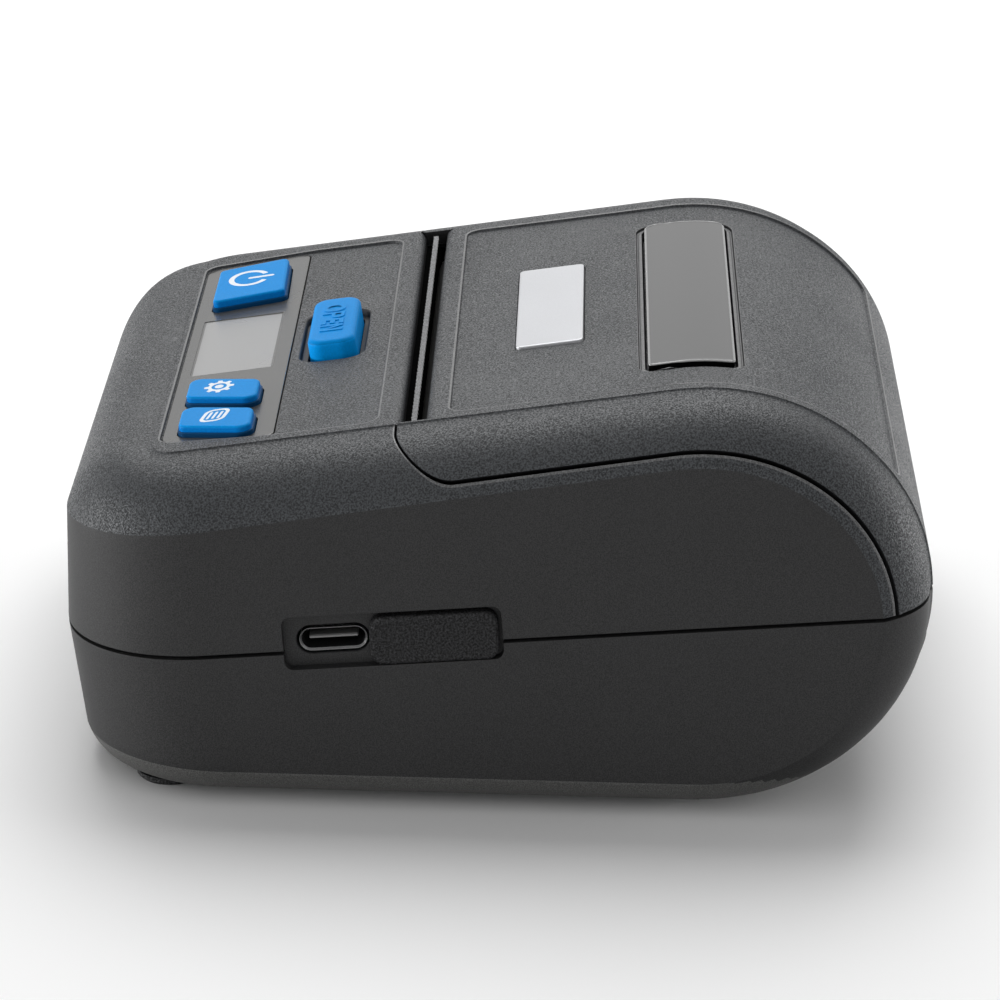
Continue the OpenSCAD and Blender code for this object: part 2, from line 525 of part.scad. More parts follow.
// side plate of the mechanism, with the platen's open notch
module frame_side() difference() {
  py = platen_y; pz = platen_z;
  polygon([[py - 15, frame_z], [py + 9, frame_z], [py + 9, 31], [py + 6, 34], [py + 6, 40],
    [py + 5.4, pz - 0.8], [py + 4.6, pz + 2.6], [py - 4.2, pz + 1], [py - 4.2, 38], [py - 14.5, 36]]);
  translate([py, pz]) circle(r = 3.65);
  translate([py, pz]) rotate(-atan(out_y / out_z)) translate([-3.65, 0]) square([7.3, 9]);
  translate([head_py, head_pz]) circle(r = 1.5 + shaft_fit);
}
module mech_frame() color(steel) {
  difference() {
    both() slab_x(frame_x, frame_x + frame_t) frame_side();
    rod_x(-frame_x - 3, 0, motor_y, motor_z, 3.2);
    rod_x(-frame_x - 3, 0, idler_y, idler_z, 1.5);
  }
  difference() {
    translate([-frame_x, platen_y - 15, frame_z]) cube([2 * frame_x, 15, frame_t]);
    both() for (p = frame_screws_at) post(p, frame_z - 1, 3, 1.2);
  }
  both() difference() {
    translate([16, platen_y, frame_z]) cube([frame_x - 16, 6, frame_t]);
    post(frame_screws_at[1], frame_z - 1, 3, 1.2);
  }
  both() translate([25, platen_y - 15, frame_z + frame_t]) cube([frame_x - 25, frame_t, 4]);
}
module frame_screws() color(steel) both() for (p = frame_screws_at)
  translate([p[0], p[1], frame_z + frame_t]) {
  translate([0, 0, -7.2]) cylinder(h = 7.4, r = 1);
  difference() {
    translate([0, 0, 0.05]) cylinder(h = 1.4, r = 2);
    for (a = [0, 90]) translate([0, 0, 1.4]) rotate(a) cube([2.2, 0.5, 1.2], center = true);
  }
}
module paper_guide() color([0.15, 0.15, 0.16]) {
  slab_x(-41, 41) guide_arc(-4.8, 4.4);
  both() slab_x(40.4, frame_x - 0.05) guide_arc(-6, 3);
}
module guide_arc(top, front) translate([platen_y, platen_z]) difference() {
  circle(r = platen_r + 3.3);
  circle(r = platen_r + 2);
  translate([-12, top]) square([24, 20]);
  translate([-12, -12]) square([12 - front, 30]);
}
module paper_sensor() color([0.08, 0.08, 0.08])
  translate([12, platen_y - 1.5, platen_z - platen_r - 6.6]) cube([5, 4, 3.2]);
module stepper_motor() color([0.62, 0.63, 0.65]) {
  rod_x(-frame_x, -frame_x + 14, motor_y, motor_z, 7.3);
  rod_x(-frame_x - 1, -frame_x, motor_y, motor_z, 3);
  rod_x(-frame_x + 14, -frame_x + 15, motor_y, motor_z, 3);
}
module gear_post() color(steel) rod_x(-frame_x - 5.6, -frame_x, idler_y, idler_z, 1.5);
// outline of a gear: t teeth, each side of each tooth leaned in
module gear_shape(t, play) {
  r = gear_m * t / 2; p = 360 / t; w = 90 / t - play / 2 / r * 57.3;
  polygon([for (i = [0:t - 1]) for (q = [[-1, -1.35, 1.5], [-1, 0, 1], [-1, 0.95, 0.45],
    [1, 0.95, 0.45], [1, 0, 1], [1, -1.35, 1.5]])
    let (a = i * p + q[0] * w * q[2], rr = r + q[1] * gear_m) [rr * cos(a), rr * sin(a)]]);
}
// turns that put each gear in mesh at rest
idler_dir = atan2(platen_z - idler_z, platen_y - idler_y);
pinion_dir = atan2(idler_z - motor_z, idler_y - motor_y);
idler_phase = (pinion_dir + 180 - idler_dir) * teeth_idler / 360;
pinion_turn = pinion_dir - (0.5 - idler_phase) * 360 / teeth_pinion;
platen_turn = idler_dir + 180 + 180 / teeth_platen;
module motor_pinion() color([0.85, 0.75, 0.4]) {
  along_x(gear_x, motor_y, motor_z) rotate(pinion_turn) linear_extrude(gear_w)
    gear_shape(teeth_pinion, gear_play);
  rod_x(gear_x - 0.5, gear_x + 3.3, motor_y, motor_z, 1);
}
module idler_gear() color([0.9, 0.9, 0.88]) along_x(gear_x, idler_y, idler_z) difference() {
  union() {
    rotate(idler_dir) linear_extrude(gear_w) gear_shape(teeth_idler, gear_play);
    translate([0, 0, 0.3]) cylinder(h = gear_w + 0.6, r = 3);
  }
  translate([0, 0, -1]) cylinder(h = 6, r = 1.5 + shaft_fit);
  for (i = [0:4]) rotate(i * 72) translate([4.6, 0, -1]) cylinder(h = 6, r = 1.1, $fn = 24);
}
module platen_gear() color([0.9, 0.9, 0.88]) along_x(gear_x, platen_y, platen_z) difference() {
  union() {
    rotate(platen_turn) linear_extrude(gear_w) gear_shape(teeth_platen, gear_play);
    translate([0, 0, 0.3]) cylinder(h = gear_w + 0.1, r = 2.4);
  }
  translate([0, 0, -1]) cylinder(h = 6, r = shaft_r);
}
module platen_shaft() color(steel)
  rod_x(gear_x - 0.5, frame_x + frame_t + 0.6, platen_y, platen_z, shaft_r);
module platen_rubber() color([0.08, 0.08, 0.08]) difference() {
  rod_x(-platen_l / 2, platen_l / 2, platen_y, platen_z, platen_r);
  rod_x(-60, 60, platen_y, platen_z, shaft_r);
}
module platen_bushes() color([0.9, 0.9, 0.86]) both() difference() {
  union() {
    rod_x(frame_x - 0.8, frame_x + frame_t + 0.5, platen_y, platen_z, 3.4);
    rod_x(frame_x - 0.8, frame_x - 0.1, platen_y, platen_z, 3.9);
  }
  rod_x(40, 50, platen_y, platen_z, shaft_r + shaft_fit);
}
module platen_holder() color(steel) {
  both() difference() {
    slab_x(frame_x - 1.9, frame_x - 0.8) translate([platen_y, platen_z]) polygon([[-2.6, -3],
      [-1.6, -4], [1.6, -4], [2.6, -3], [3.2, 6], [-2.6, 5.05]]);
    rod_x(40, 50, platen_y, platen_z, shaft_r + 0.3);
  }
  difference() {
    on_top(platen_y) translate([-frame_x + 0.8, 2.2, -wall - 0.85]) cube([2 * frame_x - 1.6, 6.3, 0.8]);
    both() on_top(platen_y) translate([30, 5.3, -wall - 2]) cylinder(h = 5, r = 1.25);
  }
}

module head_rod() color(steel)
  rod_x(-frame_x - 2, frame_x + 2, head_py, head_pz, 1.5);
module head_bracket() color([0.75, 0.76, 0.78]) difference() {
  union() {
    translate([-41.5, head_y - 4.4, head_pz + 3.5]) cube([83, 3, 12]);
    both() slab_x(36, 39) hull() {
      translate([head_py, head_pz]) circle(r = 2.8, $fn = 32);
      translate([head_y - 4.4, head_pz + 3.5]) square([3, 1.4]);
    }
    translate([-4, open_y - 0.7, head_pz + 3.5]) cube([8, head_y - open_y - 3.5, 2]);
    both() translate([2.2, open_y + 0.9, head_pz + 1.5]) cube([1.8, head_y - open_y - 5.1, 2.2]);
    for (z = [5.7, 8.9, 12.1]) translate([-34, head_y - 5.8, head_pz + z]) cube([68, 1.6, 1.2]);
  }
  rod_x(-60, 60, head_py, head_pz, 1.5 + shaft_fit);
}
module head_strip() color([0.82, 0.8, 0.72]) difference() {
  translate([-41, head_y - 1.4, head_pz + 5.1]) cube([82, 1.4, 10.6]);
  translate([-30, head_y - 0.25, head_pz + 4.5]) cube([60, 1, 4]);
}
// two torsion springs on the head's rod: five coils each, between two upright legs
spring_wire = 0.25; spring_r = 2.4; spring_n = 5; spring_pitch = 0.62;
function spring_path() = concat(
  [[0, -spring_r, -14.9], [0, -spring_r, -5]],
  [for (i = [0:spring_n * 12]) let (a = 180 - 30 * i)
    [spring_pitch * i / 12, spring_r * cos(a), spring_r * sin(a)]],
  [[spring_pitch * spring_n, -spring_r, 3], [spring_pitch * spring_n, -spring_r, 4.6]]);
module tube(p, r) {
  n = len(p);
  t = [for (i = [0:n - 1]) let (d = p[min(n - 1, i + 1)] - p[max(0, i - 1)]) d / norm(d)];
  polyhedron(points = [for (i = [0:n - 1]) let (u = cross(t[i], [1, 0, 0]) / norm(cross(t[i], [1, 0, 0])),
      v = cross(t[i], u)) for (a = [0:60:300]) p[i] + r * (cos(a) * u + sin(a) * v)],
    faces = concat([[5, 4, 3, 2, 1, 0]], [[for (k = [0:5]) (n - 1) * 6 + k]],
      [for (i = [0:n - 2], k = [0:5]) [i * 6 + k, i * 6 + (k + 1) % 6, (i + 1) * 6 + k]],
      [for (i = [0:n - 2], k = [0:5]) [i * 6 + (k + 1) % 6, (i + 1) * 6 + (k + 1) % 6, (i + 1) * 6 + k]]));
}
module head_springs() color(steel) both() translate([30, head_py, head_pz]) tube(spring_path(), spring_wire);

module roll_bin() color([0.17, 0.17, 0.18]) {
  slab_x(-bin_x - 0.4, bin_x + 0.4) difference() {
    union() {
      translate([bin_y, bin_z]) circle(r = bin_r + 1.2);
      translate([bin_y - bin_r - 0.1, 35]) square([6, 2.4]);
    }
    translate([bin_y, bin_z]) circle(r = bin_r);
    translate([bin_y - 30, 37.4]) square([60, 30]);
    translate([bin_y, 33]) square([30, 30]);
  }
  both() difference() {
    slab_x(bin_x, bin_x + 1.2) intersection() {
      translate([bin_y, bin_z]) circle(r = bin_r + 1.2);
      translate([bin_y, 0]) polygon([[-30, 0], [30, 0], [30, 33], [8.5, 37.4], [-30, 37.4]]);
    }
    translate([bin_x - 1, bin_y - 3.5, bin_z - 3.5]) cube([5, 7, 7]);
  }
  both() difference() {
    union() {
      slab_x(28, 33) translate([hinge_y, hinge_z]) polygon([[-6.1, -3], [-5.15, -3], [-4, -1.15],
        [-1.2, -1.15], [0, -1.6], [0, 1.6], [-6, 0.8]]);
      rod_x(28, 33, hinge_y, hinge_z, 1.7);
    }
    rod_x(20, 40, hinge_y, hinge_z, hinge_rod_r);
  }
}
module hinge_rod() color(steel) both() rod_x(23.6, 40.6, hinge_y, hinge_z, hinge_rod_r);

window_y = yr0 - 32.8; badge_y = yr0 - 51.7;
module window_plan(g) translate([0, window_y, 40]) linear_extrude(30)
  round_rect(window_w + 2 * g, window_l + 2 * g, 1 + g);
module lid_window() color([0.1, 0.1, 0.11, 0.75]) resize([0, 0, 0]) intersection() {
  difference() { body_solid(0.3, 0); body_solid(1.4, 0); }
  window_plan(0);
}
module badge_plate(g, h) on_top(badge_y) translate([0, 0, -0.9]) linear_extrude(h)
  round_rect(badge_w + 2 * g, badge_l + 2 * g, 0.8 + g);
module lid_badge() color([0.78, 0.79, 0.82]) badge_plate(0, 0.75);
module lid_shell() color(case_col) resize([0, 0, 0]) difference() {
  union() {
    difference() {
      intersection() { body_solid(); above_belt(belt_gap / 2); lid_prism(); }
      body_solid(wall, 0);
    }
    intersection() {
      body_solid(0.6, 0);
      above_belt(belt_gap / 2);
      both() union() {
        slab_x(hw - 8.4, hw - 7) difference() {
          translate([slot_y + 9.5, 30]) square([73, 40]);
          translate([yr0 - 32.5, 28.5]) scale([1.11, 0.84]) circle(r = 26);
          translate([-40, 0]) square([yr0 + 7, 46.6]);
        }
        slab_x(23.8, 27.7) knuckle();
        slab_x(33.3, 40.4) knuckle();
      }
    }
    both() on_top(platen_y) translate([30, 5.3, -wall - 1.4]) cylinder(h = 1.8, r = 1.15, $fn = 16);
  }
  both() rod_x(27.4, 33.6, hinge_y, hinge_z, 2);
  rod_x(gear_x - 0.6, gear_x + gear_w + 0.6, platen_y, platen_z, gear_m * (teeth_platen / 2 + 1) + 0.4);
  rod_x(-40.8, 40.8, hinge_y, hinge_z, hinge_rod_r + hinge_fit);
  window_plan(0.1);
  badge_plate(0.05, 3);
  // shallow step of the lid's middle, and a lowered surround for the window
  difference() {
    translate([-41.4, slot_y + 5.4, 40]) cube([82.8, 26, 30]);
    on_top(0) translate([-60, -60, -60.35]) cube([120, 110, 60]);
  }
}
module knuckle() translate([hinge_y, hinge_z]) {
  circle(r = 1.7);
  polygon([[-1.2, 1.2], [0, -1.7], [4, -1.2], [4, 4]]);
}

lower_case();
rubber_feet();
battery_door();
battery_pack();
case_screws();
upper_case();
control_label();
display_window();
display_module();
key_board();
key_switches();
board_screws();
main_board();
board_parts();
usb_shell();
usb_tongue();
port_cover();
power_button();
settings_button();
feed_button();
open_button();
tear_bar();
mech_frame();
frame_screws();
paper_guide();
paper_sensor();
stepper_motor();
gear_post();
motor_pinion();
idler_gear();
head_rod();
head_bracket();
head_strip();
head_springs();
roll_bin();
hinge_rod();
lid_shell();
lid_window();
lid_badge();
platen_holder();
platen_bushes();
platen_shaft();
platen_rubber();
platen_gear();
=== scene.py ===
import math

import bmesh
import bpy
import numpy as np
from mathutils import Matrix, Vector
from mathutils.geometry import delaunay_2d_cdt


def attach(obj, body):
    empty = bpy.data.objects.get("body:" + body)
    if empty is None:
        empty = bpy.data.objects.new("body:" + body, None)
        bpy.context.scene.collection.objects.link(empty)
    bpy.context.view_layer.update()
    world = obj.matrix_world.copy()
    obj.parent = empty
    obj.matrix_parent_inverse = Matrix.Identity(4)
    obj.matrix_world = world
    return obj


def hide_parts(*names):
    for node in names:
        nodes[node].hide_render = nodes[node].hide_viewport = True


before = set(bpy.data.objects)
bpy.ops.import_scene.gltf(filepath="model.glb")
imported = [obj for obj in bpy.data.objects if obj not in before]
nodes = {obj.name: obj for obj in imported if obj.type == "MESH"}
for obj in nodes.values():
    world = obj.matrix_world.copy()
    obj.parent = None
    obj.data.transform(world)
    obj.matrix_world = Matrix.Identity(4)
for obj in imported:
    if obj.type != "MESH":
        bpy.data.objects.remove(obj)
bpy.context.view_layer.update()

# sizes in millimetres; every mesh is turned into metres when it becomes an object
case = dict(halfWidth=54.0, front=-58.0, rear=58.0, bottom=1.0, lowCrease=5.0, cornerR=20.0,
            shoulder=11.0, frontShoulder=12.0, innerCorner=4.0, lowShoulder=5.0, lean=2.3,
            halfGap=0.25, wall=2.0, edge=0.1)
heights = dict(belt=29.77, crease=55.2, top=62.18)  # where the side's three sloping lines reach the rear
slopes = dict(belt=0.088, crease=0.169, top=0.16)
roll = dict(y=28.0, z=28.5, deep=30.1, high=28.45, low=27.5)  # middle line of the roll end
rollSide = dict(y=27.0, z=27.2, deep=24.0, high=22.4, low=22.2)  # and the line at its sides
slotRound = dict(case=1.1, lid=1.3)  # radii of the two long edges of the paper slot
seam = dict(sideX=52.85, frontY=-13.4, cornerR=8.0, slotX=42.6, lidY=-9.85, slotY=-12.95, gap=0.3)
centre = np.array([0.0, 0.0, 28.0])
bendY = 22.77  # the flat top ends here and the roll end begins
bendStep = 0.524  # millimetres along the roll end for each degree
bendStart = 100.0  # the roll end's angle at bendY, in degrees above the level

topX = case["halfWidth"] - case["shoulder"]
turnX, turnY = case["halfWidth"] - case["cornerR"], case["front"] + case["cornerR"]
shrink = case["cornerR"] - case["innerCorner"]
slideX, slideY = shrink - case["shoulder"], shrink - case["frontShoulder"]
beltTilt, topTilt = math.atan(slopes["belt"]), math.atan(slopes["top"])


# shapes of the case
def lineZ(name, y):
    # a straight line of the side view: its height at the rear end, and its slope times the way from there
    return heights[name] + slopes[name] * (y - case["rear"])


def beltZ(y, w=0.0):
    # the belt's height, moved by w square to the belt
    return lineZ("belt", y) + w * 1.0039


def creaseZ(y):
    # the edge between the flat side and the shoulder
    return lineZ("crease", y)


def topZ(y):
    # the top stays level in front of its own outline
    return lineZ("top", np.maximum(y, case["front"] + case["frontShoulder"]))


def fall(u, crisp=0.0):
    # height kept at distance u from the top's edge: a superellipse with a small turn at the edge,
    # and crisp as a fine step there
    u = np.clip(u, 0.0, 1.0)
    low = math.sqrt(1 - 0.9 ** 2.3)
    s = (np.sqrt(1 - (0.9 * u) ** 2.3) - low) / (1 - low)
    return s - (0.055 * (1 - np.exp(-u / 0.09)) + crisp * (1 - np.exp(-u / 0.006))) * (1 - u)


def level(x, y):
    # 0 on the side crease and 1 on the top's outline, through a family of rounded rectangles:
    # at a corner the level solves (distance to the sliding corner centre) = (shrinking corner radius)
    px, py = np.abs(x) - turnX, turnY - y
    b = 2 * (case["cornerR"] * shrink - slideX * px - slideY * py)
    c = px * px + py * py - case["cornerR"] ** 2
    q = shrink ** 2 - slideX ** 2 - slideY ** 2
    curved = (b - np.sqrt(np.maximum(b * b + 4 * q * c, 0.0))) / (2 * q)
    straight = np.minimum((case["halfWidth"] - np.abs(x)) / case["shoulder"],
                          (y - case["front"]) / case["frontShoulder"])
    lam = np.where((px > slideX * curved) & (py > slideY * curved), curved, straight)
    return np.clip(lam, 0.0, 1.0)


def arcPoint(line, a):
    # y and z on a line of the roll end at angle a: an ellipse with its own height above and below
    return line["y"] + line["deep"] * np.cos(a), line["z"] + np.where(a > 0, line["high"], line["low"]) * np.sin(a)


def placeAt(degrees):
    # place t where the roll end has turned to this angle
    return bendY + (bendStart - degrees) * bendStep


def skinPoint(x, t, crisp=0.024):
    # point of the upper skin at width x and place t: t is y on the flat top, then length round the roll end;
    # the skin falls from the top's line to the crease, and behind from the middle line to the side's
    x, t = np.broadcast_arrays(np.asarray(x, float), np.asarray(t, float))
    low = creaseZ(t)
    flat = low + (topZ(t) - low) * fall(1.0 - level(x, t), crisp)
    a = np.radians(bendStart - (t - bendY) / bendStep)
    width = np.where(a > 0, case["shoulder"], case["shoulder"] + 6.0 * a / (math.pi / 2))
    u = (np.abs(x) - case["halfWidth"] + width) / width
    s = np.where(u > 0, fall(u, crisp), 1.0)
    (py, pz), (qy, qz) = arcPoint(roll, a), arcPoint(rollSide, a)
    onTop = t <= bendY
    return np.stack([x, np.where(onTop, t, qy + (py - qy) * s), np.where(onTop, flat, qz + (pz - qz) * s)], -1)


def skinNormal(x, t):
    # outward direction of the upper skin, from two small steps on it
    step = 0.02
    inward = np.where(np.asarray(x) > 0, -step, step)
    here = skinPoint(x, t, 0.0)
    side = (skinPoint(x + inward, t, 0.0) - here) * np.where(inward < 0, -1.0, 1.0)[..., None]
    n = np.cross(side, skinPoint(x, t + step, 0.0) - here)
    return n / np.linalg.norm(n, axis=-1, keepdims=True)


def beltPlace(x, w):
    # place t where the roll end's skin meets the plane w above the belt, by halving
    x = np.asarray(x, float)
    lo, hi = np.full(x.shape, bendY), np.full(x.shape, placeAt(-50.0))
    for _ in range(40):
        mid = (lo + hi) / 2
        p = skinPoint(x, mid)
        above = p[..., 2] > beltZ(p[..., 1], w)
        lo, hi = np.where(above, mid, lo), np.where(above, hi, mid)
    return lo


def inset(d, r):
    # depth of a quarter-round edge of radius r at distance d from it
    return np.where(d < r, r - np.sqrt(np.maximum(r * r - (r - d) ** 2, 0.0)), 0.0)


def roundedBy(points, normals, depth):
    # the points moved inwards along their normals by depth
    return points - normals * depth[..., None]


def mirrorX(grid):
    # the same points on the other side of the middle
    out = grid.copy()
    out[..., 0] *= -1
    return out


lipSteps = np.array([0.32, 0.2, 0.11, 0.05, 0.015, 0.0])  # distances from an edge where its rounding has a point


# mesh building
def newSkin():
    # a mesh in the making: blocks of points, and of faces with their material numbers and shading
    return {"points": [], "faces": [], "mats": [], "smooth": [], "count": 0}


def addPoints(skin, points):
    # adds a block of points and returns the number of its first one
    points = np.asarray(points, float).reshape(-1, 3)
    start = skin["count"]
    skin["points"].append(points)
    skin["count"] += len(points)
    return start


def addFaces(skin, points, faces, towards, mat, smooth=True):
    # faces are turned so that their mean direction agrees with towards: "out", "in", a direction,
    # or a function of the faces' middles; None keeps them
    corner = points[faces]
    middle = corner.mean(1)
    n = np.cross(corner[:, 1] - corner[:, 0], corner[:, 2] - corner[:, 0])
    if faces.shape[1] == 4:
        n = n + np.cross(corner[:, 2] - corner[:, 0], corner[:, 3] - corner[:, 0])
    if towards is None:
        hint = n
    elif callable(towards):
        hint = towards(middle)
    elif isinstance(towards, str):
        hint = (middle - centre) * (1 if towards == "out" else -1)
    else:
        hint = np.broadcast_to(np.asarray(towards, float), n.shape)
    if (n * hint).sum() < 0:
        faces = faces[:, ::-1]
    start = addPoints(skin, points)
    skin["faces"].append(faces + start)
    skin["mats"].append(np.full(len(faces), mat))
    skin["smooth"].append(np.full(len(faces), smooth))


def addGrid(skin, grid, towards="out", mat=0):
    # quads between neighbouring points of a grid; mat is one material number, one for each row of faces,
    # or one for each face
    rows, cols = grid.shape[:2]
    i, j = np.meshgrid(np.arange(rows - 1), np.arange(cols - 1), indexing="ij")
    a = i * cols + j
    faces = np.stack([a, a + 1, a + cols + 1, a + cols], -1).reshape(-1, 4)
    if np.ndim(mat) == 1:
        mat = np.repeat(mat, cols - 1)
    elif np.ndim(mat) == 2:
        mat = np.reshape(mat, -1)
    addFaces(skin, grid.reshape(-1, 3), faces, towards, mat)


def addBoth(skin, grid, towards, mat=0):
    # the grid and its mirror image on the other side
    addGrid(skin, grid, towards, mat)
    addGrid(skin, mirrorX(grid), towards if isinstance(towards, str) else mirrorX(np.array(towards, float)), mat)


def addBand(skin, loops, towards, mat=0, closed=True):
    # a wall of quads from loop to loop, closed round the loops unless they are open lines
    grid = np.array(loops)
    if closed:
        grid = np.concatenate([grid, grid[:, :1]], 1)
    addGrid(skin, grid, towards, mat)


def insideLoop(points, loop):
    # even-odd test of points against a closed loop
    a, b = loop, np.roll(loop, -1, 0)
    y = points[:, 1][:, None]
    crosses = (a[:, 1] > y) != (b[:, 1] > y)
    slope = np.where(np.abs(b[:, 1] - a[:, 1]) < 1e-12, 1e-12, b[:, 1] - a[:, 1])
    x = a[:, 0] + (y - a[:, 1]) / slope * (b[:, 0] - a[:, 0])
    return (crosses & (points[:, 0][:, None] < x)).sum(1) % 2 == 1


def addPlate(skin, outer, holes, place, towards, mat=0, lines=(), smooth=False):
    # a plate between an outer loop and its holes, cut into triangles when flat and then put in place
    points, edges, n = [], [], 0
    for loop in [outer] + list(holes):
        points.append(loop)
        edges += [(n + i, n + (i + 1) % len(loop)) for i in range(len(loop))]
        n += len(loop)
    for line in lines:
        points.append(np.array(line, float))
        edges.append((n, n + 1))
        n += 2
    flat = np.concatenate(points)
    verts, _, faces, *_ = delaunay_2d_cdt([Vector(p) for p in flat], edges, [], 0, 1e-6)
    verts = np.array([v[:] for v in verts])
    faces = np.array([f for f in faces if len(f) == 3])
    mid = verts[faces].mean(1)
    keep = insideLoop(mid, outer)
    for loop in holes:
        keep &= ~insideLoop(mid, loop)
    # a sliver outside a nearly straight edge would spoil the normals of its corners
    tri = verts[faces]
    a, b = tri[:, 1] - tri[:, 0], tri[:, 2] - tri[:, 0]
    longest = np.linalg.norm(np.stack([a, b, a - b]), axis=2).max(0)
    keep &= np.abs(a[:, 0] * b[:, 1] - a[:, 1] * b[:, 0]) > 3e-4 * longest
    faces = faces[keep]
    used, faces = np.unique(faces, return_inverse=True)
    addFaces(skin, place(verts[used]), faces.reshape(-1, 3), towards, mat, smooth)


def toObject(name, skin, body, mats, replaced, angle=30.0, weld=2e-6):
    # the finished object: doubles merged, edges over angle kept sharp, riding its body in place of its CAD node
    pts = np.concatenate(skin["points"]) / 1000.0
    mesh = bpy.data.meshes.new(name)
    sizes = np.concatenate([np.full(len(f), f.shape[1]) for f in skin["faces"]])
    corners = np.concatenate([f.reshape(-1) for f in skin["faces"]])
    mesh.vertices.add(len(pts))
    mesh.vertices.foreach_set("co", pts.reshape(-1))
    mesh.loops.add(len(corners))
    mesh.loops.foreach_set("vertex_index", corners.astype(np.int32))
    mesh.polygons.add(len(sizes))
    mesh.polygons.foreach_set("loop_start", (np.cumsum(sizes) - sizes).astype(np.int32))
    mesh.polygons.foreach_set("material_index", np.concatenate(skin["mats"]).astype(np.int32))
    mesh.polygons.foreach_set("use_smooth", np.concatenate(skin["smooth"]))
    mesh.update(calc_edges=True)
    bm = bmesh.new()
    bm.from_mesh(mesh)
    bmesh.ops.remove_doubles(bm, verts=bm.verts, dist=weld)
    bm.to_mesh(mesh)
    bm.free()
    obj = bpy.data.objects.new(name, mesh)
    bpy.context.scene.collection.objects.link(obj)
    for m in mats:
        mesh.materials.append(m)
    mesh.set_sharp_from_angle(angle=math.radians(angle))
    shading = obj.modifiers.new("faceShading", "WEIGHTED_NORMAL")
    shading.keep_sharp = True
    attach(obj, body)
    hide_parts(*replaced)


# flat shapes
def roundCorners(corners, radii, steps=8):
    # closed loop through corners given counter-clockwise, each rounded to its radius
    corners = np.array(corners, float)
    radii = np.broadcast_to(np.asarray(radii, float), (len(corners),))
    out = []
    for i, c in enumerate(corners):
        a, b = corners[i - 1], corners[(i + 1) % len(corners)]
        u, v = (a - c) / np.linalg.norm(a - c), (b - c) / np.linalg.norm(b - c)
        half = math.acos(np.clip(u @ v, -1, 1)) / 2
        r = radii[i]
        mid = (u + v) / np.linalg.norm(u + v)
        o = c + mid * r / math.sin(half)
        p, q = c + u * r / math.tan(half) - o, c + v * r / math.tan(half) - o
        a0, a1 = math.atan2(p[1], p[0]), math.atan2(q[1], q[0])
        turn = (a1 - a0 + math.pi) % (2 * math.pi) - math.pi
        t = a0 + turn * np.linspace(0, 1, steps + 1)
        out.append(o + r * np.stack([np.cos(t), np.sin(t)], -1))
    return np.concatenate(out)


def boxLoop(x0, x1, y0, y1, r, steps=8):
    # a rectangle with rounded corners
    return roundCorners([(x0, y0), (x1, y0), (x1, y1), (x0, y1)], r, steps)


def counterClockwise(loop):
    # the loop turned round if its signed area is negative
    x, y = loop[:, 0], loop[:, 1]
    return loop[::-1] if np.sum(x * np.roll(y, -1) - np.roll(x, -1) * y) < 0 else loop


def grow(loop, d):
    # the counter-clockwise loop moved outwards by d
    a, b = np.roll(loop, 1, 0), np.roll(loop, -1, 0)
    e1, e2 = loop - a, b - loop
    e1 = e1 / np.linalg.norm(e1, axis=1, keepdims=True)
    e2 = e2 / np.linalg.norm(e2, axis=1, keepdims=True)
    n1, n2 = np.stack([e1[:, 1], -e1[:, 0]], -1), np.stack([e2[:, 1], -e2[:, 0]], -1)
    m = n1 + n2
    m = m / np.linalg.norm(m, axis=1, keepdims=True)
    return loop + m * (d / np.maximum((m * n1).sum(1), 0.3))[:, None]


def roundEdge(r, steps=4):
    # (outward step, height) pairs of a quarter-round edge, from its foot at the side to its end on top
    a = np.linspace(0, math.pi / 2, steps + 1)
    return [(-r * (1 - math.cos(t)), -r * (1 - math.sin(t))) for t in a]


def topPlace(lift=0.0):
    # puts (x, y) of the sloping top plane in place, lifted along the plane's normal
    def place(p, h=lift):
        h = np.broadcast_to(np.asarray(h, float), p.shape[:-1])
        z = lineZ("top", p[..., 1])
        return np.stack([p[..., 0], p[..., 1] - h * math.sin(topTilt), z + h * math.cos(topTilt)], -1)
    return place


def skinPlace(lift=0.0):
    # puts (x, t) of the lid's skin in place, lifted along its normal
    def place(p, h=lift):
        n = skinNormal(p[..., 0] * 0, p[..., 1])
        q = skinPoint(p[..., 0] * 0, p[..., 1]) + n * np.broadcast_to(np.asarray(h, float), p.shape[:-1])[..., None]
        q[..., 0] = p[..., 0]
        return q
    return place


def sidePlace(x):
    # puts (y, z) on the flat side at x, h further out
    def place(p, h=0.0):
        return np.stack([np.full(p.shape[:-1], x) + h * np.sign(x), p[..., 0], p[..., 1]], -1)
    return place


print("helpers ready")


# materials
def newGroup(name, inputs, outputs):
    # a node group with named sockets
    group = bpy.data.node_groups.new(name, "ShaderNodeTree")
    for label, kind, value in inputs:
        socket = group.interface.new_socket(label, in_out="INPUT", socket_type=kind)
        if value is not None:
            socket.default_value = value
    for label, kind in outputs:
        group.interface.new_socket(label, in_out="OUTPUT", socket_type=kind)
    return group


def link(tree, a, b):
    # joins output a to input b
    tree.links.new(a, b)


def node(tree, kind, **values):
    # a new node, with values for its sockets or for its own settings
    n = tree.nodes.new(kind)
    for key, value in values.items():
        if key in n.inputs.keys():
            n.inputs[key].default_value = value
        else:
            setattr(n, key, value)
    return n


